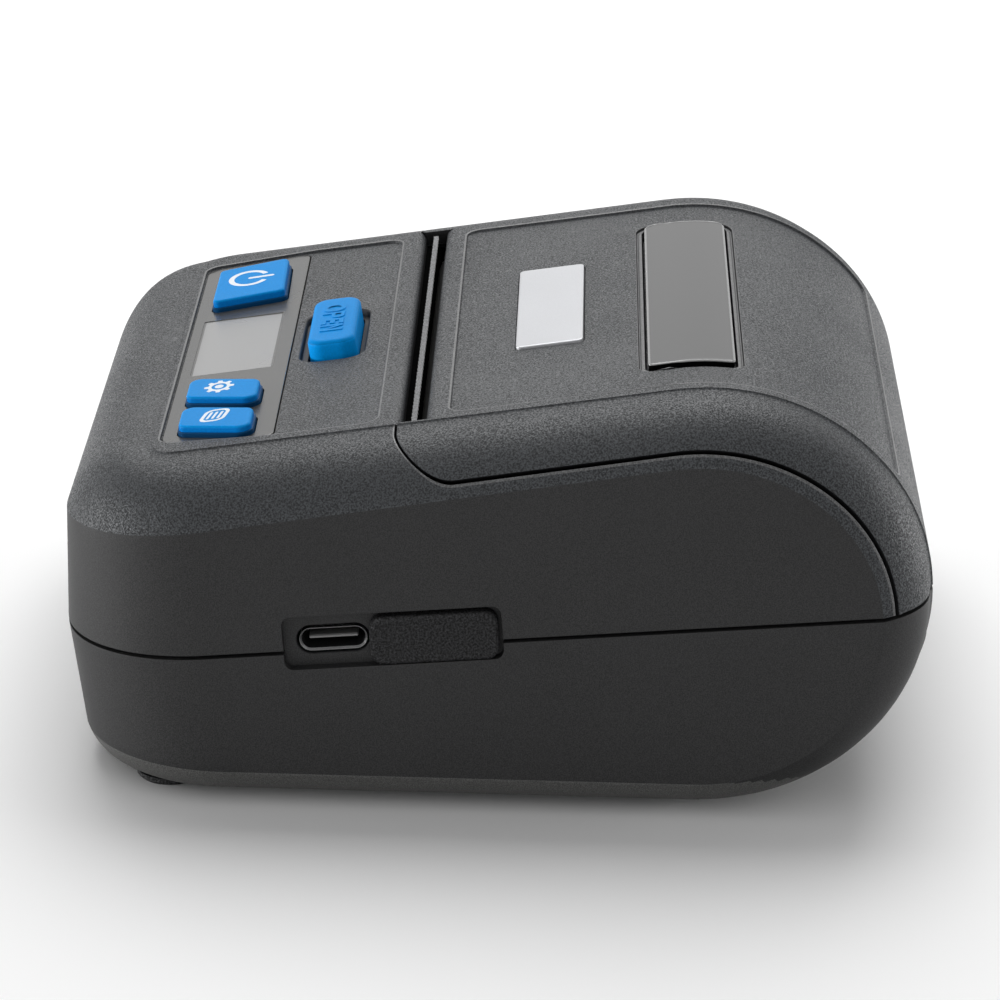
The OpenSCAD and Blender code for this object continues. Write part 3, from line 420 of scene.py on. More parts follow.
def sparkGroup():
    # moulded spark-eroded texture: grains at two sizes give a height, and a mask of bright specks
    f = "NodeSocketFloat"
    g = newGroup("moulded grain", [("Scale", f, 4200.0), ("Depth", f, 0.5), ("Distance", f, 0.00005)],
                 [("Normal", "NodeSocketVector"), ("Specks", f), ("Cloud", f)])
    given, result = g.nodes.new("NodeGroupInput"), g.nodes.new("NodeGroupOutput")
    place = node(g, "ShaderNodeTexCoord")
    fine = node(g, "ShaderNodeTexNoise", Detail=3.0, Roughness=0.65)
    link(g, place.outputs["Object"], fine.inputs["Vector"])
    link(g, given.outputs["Scale"], fine.inputs["Scale"])
    bump = node(g, "ShaderNodeBump")
    link(g, fine.outputs["Fac"], bump.inputs["Height"])
    link(g, given.outputs["Depth"], bump.inputs["Strength"])
    link(g, given.outputs["Distance"], bump.inputs["Distance"])
    grown = node(g, "ShaderNodeMath", operation="MULTIPLY")
    grown.inputs[1].default_value = 1.5
    cells = node(g, "ShaderNodeTexNoise", Detail=1.0, Roughness=0.6)
    link(g, given.outputs["Scale"], grown.inputs[0])
    link(g, place.outputs["Object"], cells.inputs["Vector"])
    link(g, grown.outputs[0], cells.inputs["Scale"])
    specks = node(g, "ShaderNodeMapRange")
    specks.inputs["From Min"].default_value = 0.36
    specks.inputs["From Max"].default_value = 0.68
    link(g, cells.outputs["Fac"], specks.inputs["Value"])
    cloud = node(g, "ShaderNodeTexNoise", Scale=60.0, Detail=2.0)
    link(g, place.outputs["Object"], cloud.inputs["Vector"])
    link(g, bump.outputs["Normal"], result.inputs["Normal"])
    link(g, specks.outputs["Result"], result.inputs["Specks"])
    link(g, cloud.outputs["Fac"], result.inputs["Cloud"])
    return g


grainGroup = sparkGroup()


def material(name, color, rough=0.5, metal=0.0, specular=0.5):
    # one uniform Principled surface
    m = bpy.data.materials.new(name)
    m.use_nodes = True
    b = m.node_tree.nodes["Principled BSDF"]
    b.inputs["Base Color"].default_value = (*color, 1.0)
    b.inputs["Roughness"].default_value = rough
    b.inputs["Metallic"].default_value = metal
    b.inputs["Specular IOR Level"].default_value = specular
    return m


def grained(name, color, rough, scale, depth, distance, specular=0.5, spread=0.5, metal=0.0, shine=0.0):
    # plastic, rubber or cast metal with moulded grain: the grain drives the normal, colour and roughness;
    # spread is the share of the colour by which grains differ, shine how much smoother the bright ones are
    swing = 0.1
    m = material(name, color, rough, metal, specular)
    t = m.node_tree
    b = t.nodes["Principled BSDF"]
    g = node(t, "ShaderNodeGroup")
    g.node_tree = grainGroup
    g.inputs["Scale"].default_value = scale
    g.inputs["Depth"].default_value = depth
    g.inputs["Distance"].default_value = distance
    link(t, g.outputs["Normal"], b.inputs["Normal"])
    ramp = node(t, "ShaderNodeMix", data_type="RGBA")
    dark = [v * (1 - spread) for v in color]
    pale = [min(1.0, v * (1 + spread)) for v in color]
    ramp.inputs[6].default_value = (*dark, 1.0)
    ramp.inputs[7].default_value = (*pale, 1.0)
    link(t, g.outputs["Specks"], ramp.inputs[0])
    link(t, ramp.outputs[2], b.inputs["Base Color"])
    span = node(t, "ShaderNodeMapRange")
    span.inputs["To Min"].default_value = max(0.02, rough - swing + shine / 2)
    span.inputs["To Max"].default_value = min(1.0, rough + swing + shine / 2)
    link(t, g.outputs["Cloud"], span.inputs["Value"])
    glint = node(t, "ShaderNodeMath", operation="MULTIPLY_ADD")
    glint.inputs[1].default_value = -shine
    link(t, g.outputs["Specks"], glint.inputs[0])
    link(t, span.outputs["Result"], glint.inputs[2])
    link(t, glint.outputs[0], b.inputs["Roughness"])
    return m


# colour, roughness, grains per metre, bump strength, bump height in metres
caseTop = grained("case top", (0.0315, 0.0338, 0.0368), 0.5, 2700.0, 1.0, 0.00011,
                  specular=0.27, spread=0.62, shine=0.45)
caseSide = grained("case side", (0.0178, 0.0178, 0.0183), 0.55, 4200.0, 0.3, 0.00005, specular=0.26)
# painted highlight: a paler, glossier copy of the case plastic on rounded edges, standing in for the light they
# catch
caseEdgeHighlight = grained("case edge painted highlight", (0.07, 0.071, 0.073), 0.4, 2700.0, 0.5, 0.00006, specular=0.5)
# painted light: a paler copy of the side plastic on the bottom edge, standing in for light thrown up from the floor
caseFootFloorLight = grained("case foot edge painted floor light", (0.06, 0.06, 0.058), 0.55, 4200.0, 0.3, 0.00005, specular=0.4)
blueGloss = grained("button blue", (0.0, 0.225, 0.6), 0.42, 2500.0, 0.05, 0.00002, specular=0.05, spread=0.05)
# painted shade: a darker copy of the button blue for the caps' walls
capWallShade = grained("cap wall painted shade", (0.0, 0.19, 0.6), 0.45, 2500.0, 0.05, 0.00002, specular=0.05, spread=0.05)
# painted light: a paler copy of the button blue for the opening key's walls
blueWallLight = grained("button wall painted light", (0.0, 0.32, 0.86), 0.45, 2500.0, 0.05, 0.00002, specular=0.05, spread=0.05)
# painted shade: dark navy for the caps' foot, standing in for the shade at the button's base
blueFootShade = grained("button foot painted shade", (0.0, 0.045, 0.13), 0.5, 2500.0, 0.05, 0.00002, specular=0.1, spread=0.05)
signWhite = grained("sign white", (0.68, 0.72, 0.76), 0.5, 2500.0, 0.05, 0.00002, specular=0.2, spread=0.04)
labelGrey = grained("label grey", (0.047, 0.047, 0.045), 0.25, 6000.0, 0.02, 0.00002, spread=0.03)
labelMargin = grained("display margin", (0.06, 0.06, 0.058), 0.4, 6000.0, 0.02, 0.00002, spread=0.03)
displayGrey = grained("display grey", (0.25, 0.25, 0.25), 0.3, 6000.0, 0.02, 0.00002, spread=0.03)
# painted highlight: a pale grey for the window's raised rim, standing in for the light line along its edge
windowRimHighlight = grained("window rim painted highlight", (0.2, 0.2, 0.2), 0.2, 3000.0, 0.02, 0.00002, spread=0.05)
smoked = grained("smoked window", (0.05, 0.05, 0.05), 0.08, 3000.0, 0.01, 0.00001, spread=0.03)
badgeSilver = grained("badge silver", (0.4, 0.405, 0.42), 0.4, 5000.0, 0.05, 0.00002, metal=0.5, spread=0.05)
# painted shade: near black for walls and faces that lie in shade, in the window's gutter and under the tear bar
gapShadeBlack = grained("gap painted shade", (0.003, 0.003, 0.003), 0.9, 3000.0, 0.1, 0.00002, specular=0.0, spread=0.3)
# black of the dark inner parts, and painted shade on the walls of seams, slots, pockets and openings
blackPartsAndGapShade = grained("black parts and painted gap shade", (0.01, 0.01, 0.011), 0.6, 3000.0, 0.2, 0.00004, specular=0.2)
flapRubber = grained("flap rubber", (0.013, 0.013, 0.014), 0.5, 2400.0, 1.0, 0.0003,
                     specular=0.2, spread=1.0, shine=0.3)
socketMetal = grained("socket metal", (0.45, 0.45, 0.455), 0.3, 5000.0, 0.05, 0.00002, metal=1.0, spread=0.08)
tonguePlastic = grained("tongue plastic", (0.16, 0.16, 0.16), 0.5, 5000.0, 0.05, 0.00002, spread=0.08)
steelBright = grained("bright steel", (0.62, 0.63, 0.64), 0.25, 5000.0, 0.05, 0.00002, metal=1.0, spread=0.08)
tearMetal = grained("tear strip", (0.22, 0.22, 0.225), 0.45, 4200.0, 0.6, 0.0001, metal=0.3, spread=0.3)
boardGreen = grained("board green", (0.02, 0.12, 0.05), 0.35, 1500.0, 0.1, 0.00004, spread=0.2)
nylon = grained("gear nylon", (0.75, 0.73, 0.66), 0.4, 2000.0, 0.05, 0.00003, spread=0.05)
brassTurned = grained("brass turned", (0.7, 0.48, 0.17), 0.3, 3000.0, 0.08, 0.00003, metal=1.0, spread=0.1)
castMetal = grained("cast metal", (0.5, 0.51, 0.52), 0.45, 2500.0, 0.3, 0.00005, metal=1.0, spread=0.15)
ceramicWhite = grained("ceramic", (0.72, 0.68, 0.56), 0.3, 2500.0, 0.05, 0.00003, spread=0.05)
platenRubber = grained("platen rubber", (0.02, 0.02, 0.02), 0.7, 2800.0, 0.3, 0.00006)
wrapBlue = grained("cell wrap", (0.03, 0.09, 0.28), 0.3, 1500.0, 0.1, 0.00004, spread=0.1)
print("materials ready")


# upper case
def seamPoints(offset, bends=28):
    # plan of the seam round the lid's near corner, moved out by offset, from the slot's end to the side
    r = seam["cornerR"] + offset
    cx, cy = seam["sideX"] - seam["cornerR"], seam["frontY"] + seam["cornerR"]
    t = np.linspace(0, math.pi / 2, bends)
    arc = np.stack([cx + r * np.sin(t), cy - r * np.cos(t)], -1)
    edge = [[topX + v, arc[0, 1]] for v in (0.0, 0.03, 0.08, 0.17, 0.4, 1.0)]
    return np.concatenate([edge, arc])


arcs = np.linspace(0, math.pi / 2, 30)  # angles of the points round a corner of the case


def outlineRight(lam, ends, sides=46):
    # half of the rounded rectangle at level lam: from its rear end along the side, round the corner,
    # to the middle of the front
    lam = np.asarray(lam, float)[:, None]
    ends = np.asarray(ends, float)[:, None]
    cx, cy, r = turnX + slideX * lam, turnY - slideY * lam, case["cornerR"] - shrink * lam
    f = np.linspace(0, 1, sides)[None, :-1]
    side = np.stack([cx + r + 0 * f, ends + (cy - ends) * f], -1)
    t = arcs[None, :]
    bend = np.stack([cx + r * np.cos(t), cy - r * np.sin(t)], -1)
    g = np.linspace(0, 1, 26)[None, 1:]
    front = np.stack([cx * (1 - g), cy - r + 0 * g], -1)
    return np.concatenate([side, bend, front], 1)


def addSlotEdge(skin, place, x, y, sign, r, yEnd):
    # quarter-round long edge of the paper slot, the wall below it and the two end walls;
    # sign is its direction away from the slot
    d = r * np.array([1.0, 0.8, 0.61, 0.44, 0.29, 0.17, 0.08, 0.02, 0.0])
    profile = np.stack([y + sign * d, -inset(d, r)], -1)
    loops = [place(np.array([[-x, v], [x, v]]), h) for v, h in profile]
    addBand(skin, loops, (0, -sign, 0.3), 0, closed=False)
    # the wall below the edge and the two end walls are painted black as shade in the slot
    addBand(skin, [loops[-1], place(np.array([[-x, y], [x, y]]), -2.6)], (0, -sign, 0), 2, closed=False)
    wall = np.concatenate([[[yEnd, -2.6], [yEnd, 0.0]], profile, [[y, -2.6]]])
    for side in (-x, x):
        put = lambda q, s=side: place(np.stack([np.full(len(q), s), q[:, 0]], -1), q[:, 1])
        addPlate(skin, wall, [], put, (side * -sign, 0, 0), 2)


def outwards(x, y):
    # level direction away from the case: from the corner's centre, or straight ahead along the front
    n = np.stack([np.where(x > turnX, x - turnX, 0), y - turnY, 0 * x], -1)
    return n / np.linalg.norm(n, axis=1, keepdims=True)


def buildUpper():
    # the skin in front of the seam, the seam's edge, the strips beside the lid, the walls and the panel
    skin = newSkin()
    lip, e, w = lipSteps, case["edge"], case["halfGap"]
    # side strip, before the seam's rounded edge
    stripX = case["halfWidth"] - np.array([0.0, 0.08, 0.2, 0.38, 0.55])
    base = seamPoints(seam["gap"] + lip[0])
    xs = np.concatenate([stripX[:-1], base[::-1, 0]])
    ends = np.concatenate([np.full(len(stripX) - 1, base[-1, 1]), base[::-1, 1]])
    half = outlineRight((case["halfWidth"] - xs) / case["shoulder"], ends)
    pts = skinPoint(half[..., 0], half[..., 1])
    nrm = skinNormal(half[..., 0], half[..., 1])
    addBoth(skin, pts, "out", 0)
    addBoth(skin, pts - nrm * case["wall"], "in", 1)
    # rounded lip along the seam's corner, and the wall below it: the rounding's rows carry the painted highlight
    # and the wall is painted black as shade in the seam
    rows = [seamPoints(seam["gap"] + d) for d in lip]
    loops = []
    for d, r in zip(lip, rows):
        p, n = skinPoint(r[:, 0], r[:, 1]), skinNormal(r[:, 0], r[:, 1])
        steep = 1.0 / np.maximum(n[:, 2], 0.35)
        loops.append(p - n * inset(d * steep, e)[:, None])
    addBoth(skin, np.array(loops + [p - n * case["wall"]]), (-0.5, 0.8, 0.4), [0, 3, 3, 3, 3, 2])
    # side strip behind the corner, down to the belt: the seam's rounded edge carries the painted highlight and the
    # wall in the seam is painted black as shade
    tFlat = np.linspace(base[-1, 1], bendY, 34)
    xsRear = np.concatenate([stripX, seam["sideX"] + seam["gap"] + lip[1:]])
    tEnd = beltPlace(xsRear, w + lip[0])
    frac = np.linspace(0, 1, 60)[None, 1:]
    t = np.concatenate([np.broadcast_to(tFlat, (len(xsRear), len(tFlat))),
                        bendY + (tEnd[:, None] - bendY) * frac]
                       + [beltPlace(xsRear, w + v)[:, None] for v in lip[1:]], 1)
    xx = np.broadcast_to(xsRear[:, None], t.shape)
    p, n = skinPoint(xx, t), skinNormal(xx, t)
    toBelt = np.concatenate([np.full(t.shape[1] - len(lip), 9.0), lip])[None]
    depth = np.maximum(inset((xx - xsRear[-1]) * 2.0, e), inset(toBelt, e))
    strip = np.concatenate([roundedBy(p, n, depth), (p - n * case["wall"])[-1:]], 0)
    addBoth(skin, strip, "out", [0] * 5 + [3] * 4 + [2])
    # front wall and corners from the crease to the belt
    ring = outlineRight([0.0], [base[-1, 1]])[0][45:]
    nOut = outwards(ring[:, 0], ring[:, 1])
    top = creaseZ(ring[:, 1])
    up = w + np.concatenate([lip[::-1], np.linspace(0.6, 1, 3)])
    rowsZ = [beltZ(ring[:, 1], v) for v in up]
    rowsZ += [rowsZ[-1] + (top - rowsZ[-1]) * f for f in np.linspace(0, 1, 9)[1:]]
    wallGrid = np.stack([np.stack([ring[:, 0], ring[:, 1], z], -1) for z in rowsZ])
    depth = np.zeros(len(rowsZ))
    depth[:len(lip)] = inset(lip[::-1], e)
    wallGrid = wallGrid - nOut[None] * depth[:, None, None]
    lipIn = np.stack([ring[:, 0], ring[:, 1], rowsZ[0]], -1) - nOut * case["wall"]
    addBoth(skin, np.concatenate([lipIn[None], wallGrid]), "out", 1)
    # flat sides, with the recess for the port cut from the +X one
    crease = pts[0][:46]
    rear = skinPoint(xsRear[:1, None] + 0 * t[:1], t[:1])[0][:-(len(lip) - 1)]
    edgeTop = np.concatenate([crease[::-1], rear[1:-1]])[:, 1:]
    front = np.stack([np.full(len(rowsZ) - 1 - len(lip), turnY), [z[0] for z in rowsZ[len(lip):-1]]], -1)
    addSides(skin, np.concatenate([edgeTop[::-1], front[::-1]]), w, 1)
    addPocket(skin, 0.01 - w, 1)
    # flat top with the control panel
    line = pts[-1][:, :2]
    frontLoop = np.concatenate([line, mirrorX(line)[::-1][1:]])
    slotY, r2 = seam["slotY"], slotRound["case"]
    yEnd = base[0, 1]
    x = seam["slotX"] + seam["gap"]
    back = np.array([[-topX, yEnd], [-x, yEnd], [-x, slotY - r2], [x, slotY - r2], [x, yEnd]])
    outer = counterClockwise(np.concatenate([frontLoop, back]))
    addPlate(skin, outer, [panelParts(skin)], topPlace(), (0, 0, 1), 0)
    addSlotEdge(skin, topPlace(), x, slotY, -1, r2, yEnd)
    toObject("upperCase", skin, "base", [caseTop, caseSide, blackPartsAndGapShade, caseEdgeHighlight], ("upper_case",))


# recess of the port: its place on the belt, its size, and the socket's oval
port = dict(y=-13.1, w=1.25, length=28.9, height=7.4, corner=1.2, depth=1.6,
            socketY=-7.9, socketW=1.15, socketHalf=4.47, socketR=1.6)


def fromBelt(q):
    # turns (distance along the belt from the port's middle, height above the belt) into (y, z)
    y = port["y"] + q[:, 0] * math.cos(beltTilt) - q[:, 1] * math.sin(beltTilt)
    z = beltZ(port["y"]) + q[:, 0] * math.sin(beltTilt) + q[:, 1] * math.cos(beltTilt)
    return np.stack([y, z], -1)


def portEdge(w, up, d=0.0):
    # outline of the recess's part above (up is 1) or below the line w, moved out by d: two quarter circles
    half, r = port["length"] / 2 + d, port["corner"] + d
    top = port["w"] + up * (port["height"] / 2 + d)
    t = np.linspace(0, math.pi / 2, 7)
    left = np.stack([-half + r - r * np.cos(t), top - up * r + up * r * np.sin(t)], -1)
    right = np.stack([half - r + r * np.sin(t), top - up * r + up * r * np.cos(t)], -1)
    return np.concatenate([[[-half, w]], left, right, [[half, w]]])


def addPocket(skin, w, up):
    # floor of the port's recess on one side of the belt, with its share of the socket's oval opening
    oval = {}
    for grown in (0.5, 0.38):
        r = port["socketR"] + grown
        first = math.asin(np.clip((w - port["socketW"]) / r, -1, 1))
        a = np.linspace(first, math.pi * up - first, 25)
        oval[grown] = np.stack([port["socketY"] + np.sign(np.cos(a)) * (port["socketHalf"] - port["socketR"])
                                + r * np.cos(a), port["socketW"] + r * np.sin(a)], -1)
    loop = np.concatenate([portEdge(w, up), oval[0.5]])[::up]
    x = case["halfWidth"] - port["depth"]
    addPlate(skin, fromBelt(loop), [], sidePlace(x), (1, 0, 0), 1)
    # the oval's rim down into the case is painted black as shade
    rim = [sidePlace(x - h)(fromBelt(oval[g])) for g, h in ((0.5, 0.0), (0.38, 0.1), (0.38, 1.6))]
    addBand(skin, rim, (0, 0, -up), 2, closed=False)


def beltPath(w, notched, up):
    # edge of a flat side along the belt, from front to rear, drawn back by each lip step; up is 1 above the belt
    out = []
    for d in lipSteps:
        ww = w + up * d
        side = np.array([case["halfWidth"]])
        rear = skinPoint(side, beltPlace(side, ww))[0, 1:]
        drop = (beltZ(turnY) - beltZ(turnY, ww)) / (beltZ(turnY) - case["lowCrease"])
        front = turnY if up > 0 else turnY + case["lean"] * drop
        if notched:
            between = fromBelt(portEdge(ww, up, d))
        else:
            ys = np.linspace(front, rear[0], 20)[1:-1]
            between = np.stack([ys, beltZ(ys, ww)], -1)
        out.append(np.concatenate([[[front, beltZ(front, ww)]], between, [rear]]))
    return out


def addSides(skin, rest, w, up):
    # both flat sides of a case half, with the port's recess cut from the +X one and the belt's edge rounded;
    # rest is the outline from the belt's rear end back to its front end
    for sign in (1, -1):
        path = beltPath(w, sign > 0, up)
        place = sidePlace(case["halfWidth"] * sign)
        addPlate(skin, np.concatenate([path[0], rest]), [], place, (sign, 0, 0), 1)
        loops = [place(q, -h) for q, h in zip(path, inset(lipSteps, case["edge"]))]
        addBand(skin, loops + [place(path[-1], -port["depth"])], (0, 0, -up), 1, closed=False)


# the panel: its recess, the label's plan, the display, the opening key's well, and each button's plan and height
panel = dict(front=-45.55, rear=-15.9, frontSide=38.9, side=41.2, corner=2.6, deep=0.45)
label = dict(front=-45.3, rear=-29.8, frontX=38.4, rearX=41.0, frontR=2.6, rearR=1.6, top=-0.36)
display = dict(x0=-13.2, x1=11.1, y0=-43.6, y1=-32.1, corner=0.3)
well = dict(x0=-11.0, x1=11.3, y0=-28.8, y1=-19.3, corner=3.1)
buttons = dict(
    power=dict(height=1.7, corner=1.0, plan=[(-32.0, -42.7), (-16.9, -42.7), (-18.8, -32.2), (-34.6, -32.5)]),
    settings=dict(height=1.5, corner=1.6, plan=[(16.2, -42.9), (24.4, -42.9), (28.3, -32.8), (20.1, -32.8)]),
    feed=dict(height=1.5, corner=1.6, plan=[(28.0, -42.9), (36.2, -42.9), (40.1, -32.8), (31.9, -32.8)]))


def capLoop(name, d=0.0):
    # plan of a button, moved out by d
    return grow(roundCorners(buttons[name]["plan"], buttons[name]["corner"], 6), d)


def panelParts(skin):
    # recess of the control panel: its sloped rim, its floor, and the pocket for the label
    place, floor = topPlace(), -panel["deep"]
    narrow, side, r = panel["frontSide"], panel["side"], panel["corner"]
    corners = [(-narrow, panel["front"]), (narrow, panel["front"]), (side, label["rear"]), (side, panel["rear"]),
               (-side, panel["rear"]), (-side, label["rear"])]
    loop = roundCorners(corners, [r, r, 30, r, r, 30], 8)
    rows = [(0.0, 0.0), (-0.2, -0.02), (-0.27, -0.07), (-0.34, -0.34), (-0.38, -0.41), (-0.45, floor)]
    # the rim's top rows carry the painted highlight material
    addBand(skin, [place(grow(loop, d), h) for d, h in rows], (0, 0, 1), [3, 3, 0, 0, 0])
    keyWell = boxLoop(well["x0"], well["x1"], well["y0"], well["y1"], well["corner"], 8)
    cut = labelLoop(0.2)
    addPlate(skin, grow(loop, rows[-1][0]), [keyWell, cut], topPlace(floor), (0, 0, 1), 0)
    # the pocket's wall round the label is painted black as shade in the gap
    lower = [(0.0, 0.0), (-0.05, -0.02), (-0.09, -0.08), (-0.1, -0.2), (-0.1, -0.6)]
    addBand(skin, [place(grow(cut, d), h + floor) for d, h in lower], (0, 0, 1), 2)
    # two openings for the keys: one for power, one for settings and feed together; their floor and walls are
    # painted black as shade
    pair = [(15.7, -43.4), (36.5, -43.4), (40.2, -32.3), (19.8, -32.3)]
    openings = [capLoop("power", 0.5), roundCorners(pair, 1.6, 6)]
    addPlate(skin, grow(cut, -0.1), openings, topPlace(floor - 0.6), (0, 0, 1), 2)
    for opening in openings:
        addBand(skin, [place(opening, floor - h) for h in (0.6, 2.0)], None, 2)
    rows = [(0.0, 0.0), (-0.1, -0.03), (-0.22, -0.12), (-0.3, -0.3), (-0.34, -1.0), (-0.6, -1.15), (-1.1, -1.15),
            (-1.2, -1.4), (-1.2, -4.5)]
    addBand(skin, [place(grow(keyWell, d), h + floor) for d, h in rows], (0, 0, 1), 1)
    return loop


def labelLoop(d=0.0):
    # plan of the label: a trapezium with rounded corners, wider towards the lid
    x0, x1 = label["frontX"], label["rearX"] - 0.35
    corners = [(-x0, label["front"]), (x0, label["front"]), (x1, label["rear"]), (-x1, label["rear"])]
    return grow(roundCorners(corners, [label["frontR"]] * 2 + [label["rearR"]] * 2, 8), d - 0.2)


buildUpper()
print("upper case built")


# lid
# the lid's shallow recess, its window, and its blank badge in a pocket that is wider by gap
recess = dict(front=-6.9, side=41.0, corner=2.4, endAngle=33.0, deep=0.42)
windowSize = dict(side=32.0, front=19.5, rear=31.2, corner=2.0, near=0.7, gutter=1.35)
badge = dict(x=17.3, y0=1.6, y1=10.8, corner=0.8, gap=0.2)


def buildLid():
    # the skin behind the seam with its rounded edges, the middle with its recess, and the slot's edge
    skin = newSkin()
    lip, e = lipSteps, case["edge"]
    base = seamPoints(-lip[0])
    xs = base[:, 0]
    tEnd = beltPlace(xs, case["halfGap"])
    # rows: x from the top's outline to the seam; columns: from the seam's corner to the belt
    f1 = np.linspace(0, 1, 12)[None, :-1]
    t1 = base[:, 1:2] + (0.0 - base[:, 1:2]) * f1
    t2 = np.broadcast_to(np.linspace(0.0, bendY, 22)[None, :-1], (len(xs), 21))
    t3 = bendY + (tEnd[:, None] - lip[0] - bendY) * np.linspace(0, 1, 64)[None]
    t4 = tEnd[:, None] - lip[None, 1:]
    t = np.concatenate([t1, t2, t3, t4], 1)
    xx = np.broadcast_to(xs[:, None], t.shape)
    p, n = skinPoint(xx, t), skinNormal(xx, t)
    grid = roundedBy(p, n, inset(tEnd[:, None] - t, e))
    inner = p - n * case["wall"]
    addBoth(skin, grid, "out")
    addBoth(skin, inner, "in")
    addBoth(skin, np.stack([grid[:, -1], inner[:, -1]]), (0, 0, -1))
    # lip round the corner and down the side, its wall in the seam painted black as shade
    loops, sideT = [], t[-1]
    for d in lip:
        r = seamPoints(-d)
        cornerP, cornerN = skinPoint(r[:, 0], r[:, 1]), skinNormal(r[:, 0], r[:, 1])
        sx = np.full(len(sideT) - 1, r[-1, 0])
        sideP, sideN = skinPoint(sx, sideT[1:]), skinNormal(sx, sideT[1:])
        pp, nn = np.concatenate([cornerP, sideP]), np.concatenate([cornerN, sideN])
        steep = 1.0 / np.maximum(np.sqrt(1 - nn[:, 0] ** 2), 0.35)
        loops.append(pp - nn * inset(d * steep, e)[:, None])
    loops.append(pp - nn * case["wall"])
    addBoth(skin, np.array(loops), "out", [0] * 5 + [2])
    # middle of the lid: flat top and roll end in one plate, opened out flat while its parts are cut
    side = np.stack([np.full(t.shape[1], topX), t[0]], -1)
    lines = [v for v in t[0] if bendY - 0.01 <= v]
    x, frontY, slotEnd = seam["slotX"], base[0, 1], seam["lidY"] + slotRound["lid"]
    loop = np.concatenate([side, side[::-1] * [-1, 1], [[-x, frontY], [-x, slotEnd], [x, slotEnd], [x, frontY]]])
    place = skinPlace()
    addPlate(skin, loop, [lidParts(skin, lines)], lambda q: place(q, -inset(tEnd[0] - q[:, 1], e)), "out",
             lines=acrossLines(lines[:-1]), smooth=True)
    addPlate(skin, loop, [windowLoop(0.1)], skinPlace(-case["wall"]), "in",
             lines=acrossLines(lines[:-1]), smooth=True)
    addSlotEdge(skin, place, x, seam["lidY"], 1, slotRound["lid"], frontY)
    low = np.array([[-topX, tEnd[0]], [topX, tEnd[0]]])
    addBand(skin, [place(low, -e), place(low, -case["wall"])], (0, 0, -1), closed=False)
    toObject("lidCover", skin, "lid", [caseTop, caseSide, blackPartsAndGapShade, caseEdgeHighlight], ("lid_shell",))


def acrossLines(places, half=topX):
    # straight cuts across the lid at these places t, so that flat triangles follow the bend
    return [((-half, v), (half, v)) for v in places]


def cutAt(loop, lines):
    # the loop with a point added wherever one of its edges crosses a line of constant t
    out = []
    for a, b in zip(loop, np.roll(loop, -1, 0)):
        out.append(a[None])
        lo, hi = min(a[1], b[1]), max(a[1], b[1])
        v = np.array([v for v in lines if lo + 1e-4 < v < hi - 1e-4])
        if len(v):
            v = np.sort(v)[::(1 if b[1] > a[1] else -1)]
            f = (v - a[1]) / (b[1] - a[1])
            out.append(a + (b - a) * f[:, None])
    return np.concatenate(out)


def toT(y):
    # place t of the mid profile at a y behind the bend
    return placeAt(np.degrees(np.arccos((y - roll["y"]) / roll["deep"]))) if y > bendY else y


def windowLoop(d=0.0, lines=()):
    # plan of the window on the opened-out lid, with sharper corners on the near side
    x, r, near = windowSize["side"], windowSize["corner"], windowSize["near"]
    a, b = toT(windowSize["front"]), toT(windowSize["rear"])
    return grow(cutAt(roundCorners([(-x, a), (x, a), (x, b), (-x, b)], [r, near, near, r], 8), lines), d)


def badgeLoop(d=0.0, r=badge["corner"]):
    # plan of the badge, moved out by d
    return boxLoop(-badge["x"] - d, badge["x"] + d, badge["y0"] - d, badge["y1"] + d, r, 6)


def lidParts(skin, lines):
    # shallow recess of the lid, the gutter round its window and the pocket of its badge
    place, floor = skinPlace(), -recess["deep"]
    endT = placeAt(recess["endAngle"])
    loop = cutAt(boxLoop(-recess["side"], recess["side"], recess["front"], endT, recess["corner"], 8), lines)
    rows = [(0.0, 0.0), (-0.2, -0.02), (-0.27, -0.07), (-0.36, -0.3), (-0.42, -0.38), (-0.54, floor)]
    # the rim's top rows carry the painted highlight material
    addBand(skin, [place(grow(loop, d), h) for d, h in rows], (0, 0.2, 1), [3, 3, 0, 0, 0])
    gutter = grow(windowLoop(0.0, lines), windowSize["gutter"])
    pocket = badgeLoop(badge["gap"], 0.9)
    addPlate(skin, grow(loop, rows[-1][0]), [gutter, pocket], lambda q: place(q, floor), "out",
             lines=acrossLines([v for v in lines if v < endT - 0.6]), smooth=True)
    rows = [(0.0, 0.0), (-0.06, -0.02), (-0.1, -0.1), (-0.16, -0.42), (-0.3, -0.5), (-0.42, -0.36), (-0.6, -0.3),
            (-0.88, -0.3), (-0.95, -0.38), (-0.98, -1.7)]
    # the gutter's rounded edges carry the painted highlight material and its deep walls are painted black as shade
    addBand(skin, [place(grow(gutter, d), h + floor) for d, h in rows], (0, 0, 1), [3, 3, 2, 3, 3, 3, 3, 2, 2])
    rows = [(0.0, 0.0), (-0.05, -0.03), (-0.08, -0.2), (-0.08, -0.7)]
    addBand(skin, [place(grow(pocket, d), h + floor) for d, h in rows], (0, 0, 1))
    addPlate(skin, grow(pocket, rows[-1][0]), [], skinPlace(floor + rows[-1][1]), (0, 0, 1))
    return loop


buildLid()
print("lid built")


# lower case
# openings in the underside as x0, x1, y0, y1, and the depth of the door's ledge
doorPlan = dict(door=(-38.8, 38.8, -52.8, -19.2), bay=(-34.0, 34.0, -50.0, -22.0), deep=1.0)


def cornerLine(r, along, yFront):
    # half of a rounded front: round the corner at radius r, then straight to the middle
    x = np.concatenate([turnX + r * np.cos(arcs), turnX * (1 - along)])
    y = np.concatenate([yFront + r * (1 - np.sin(arcs)), np.full(len(along), yFront)])
    return x, y


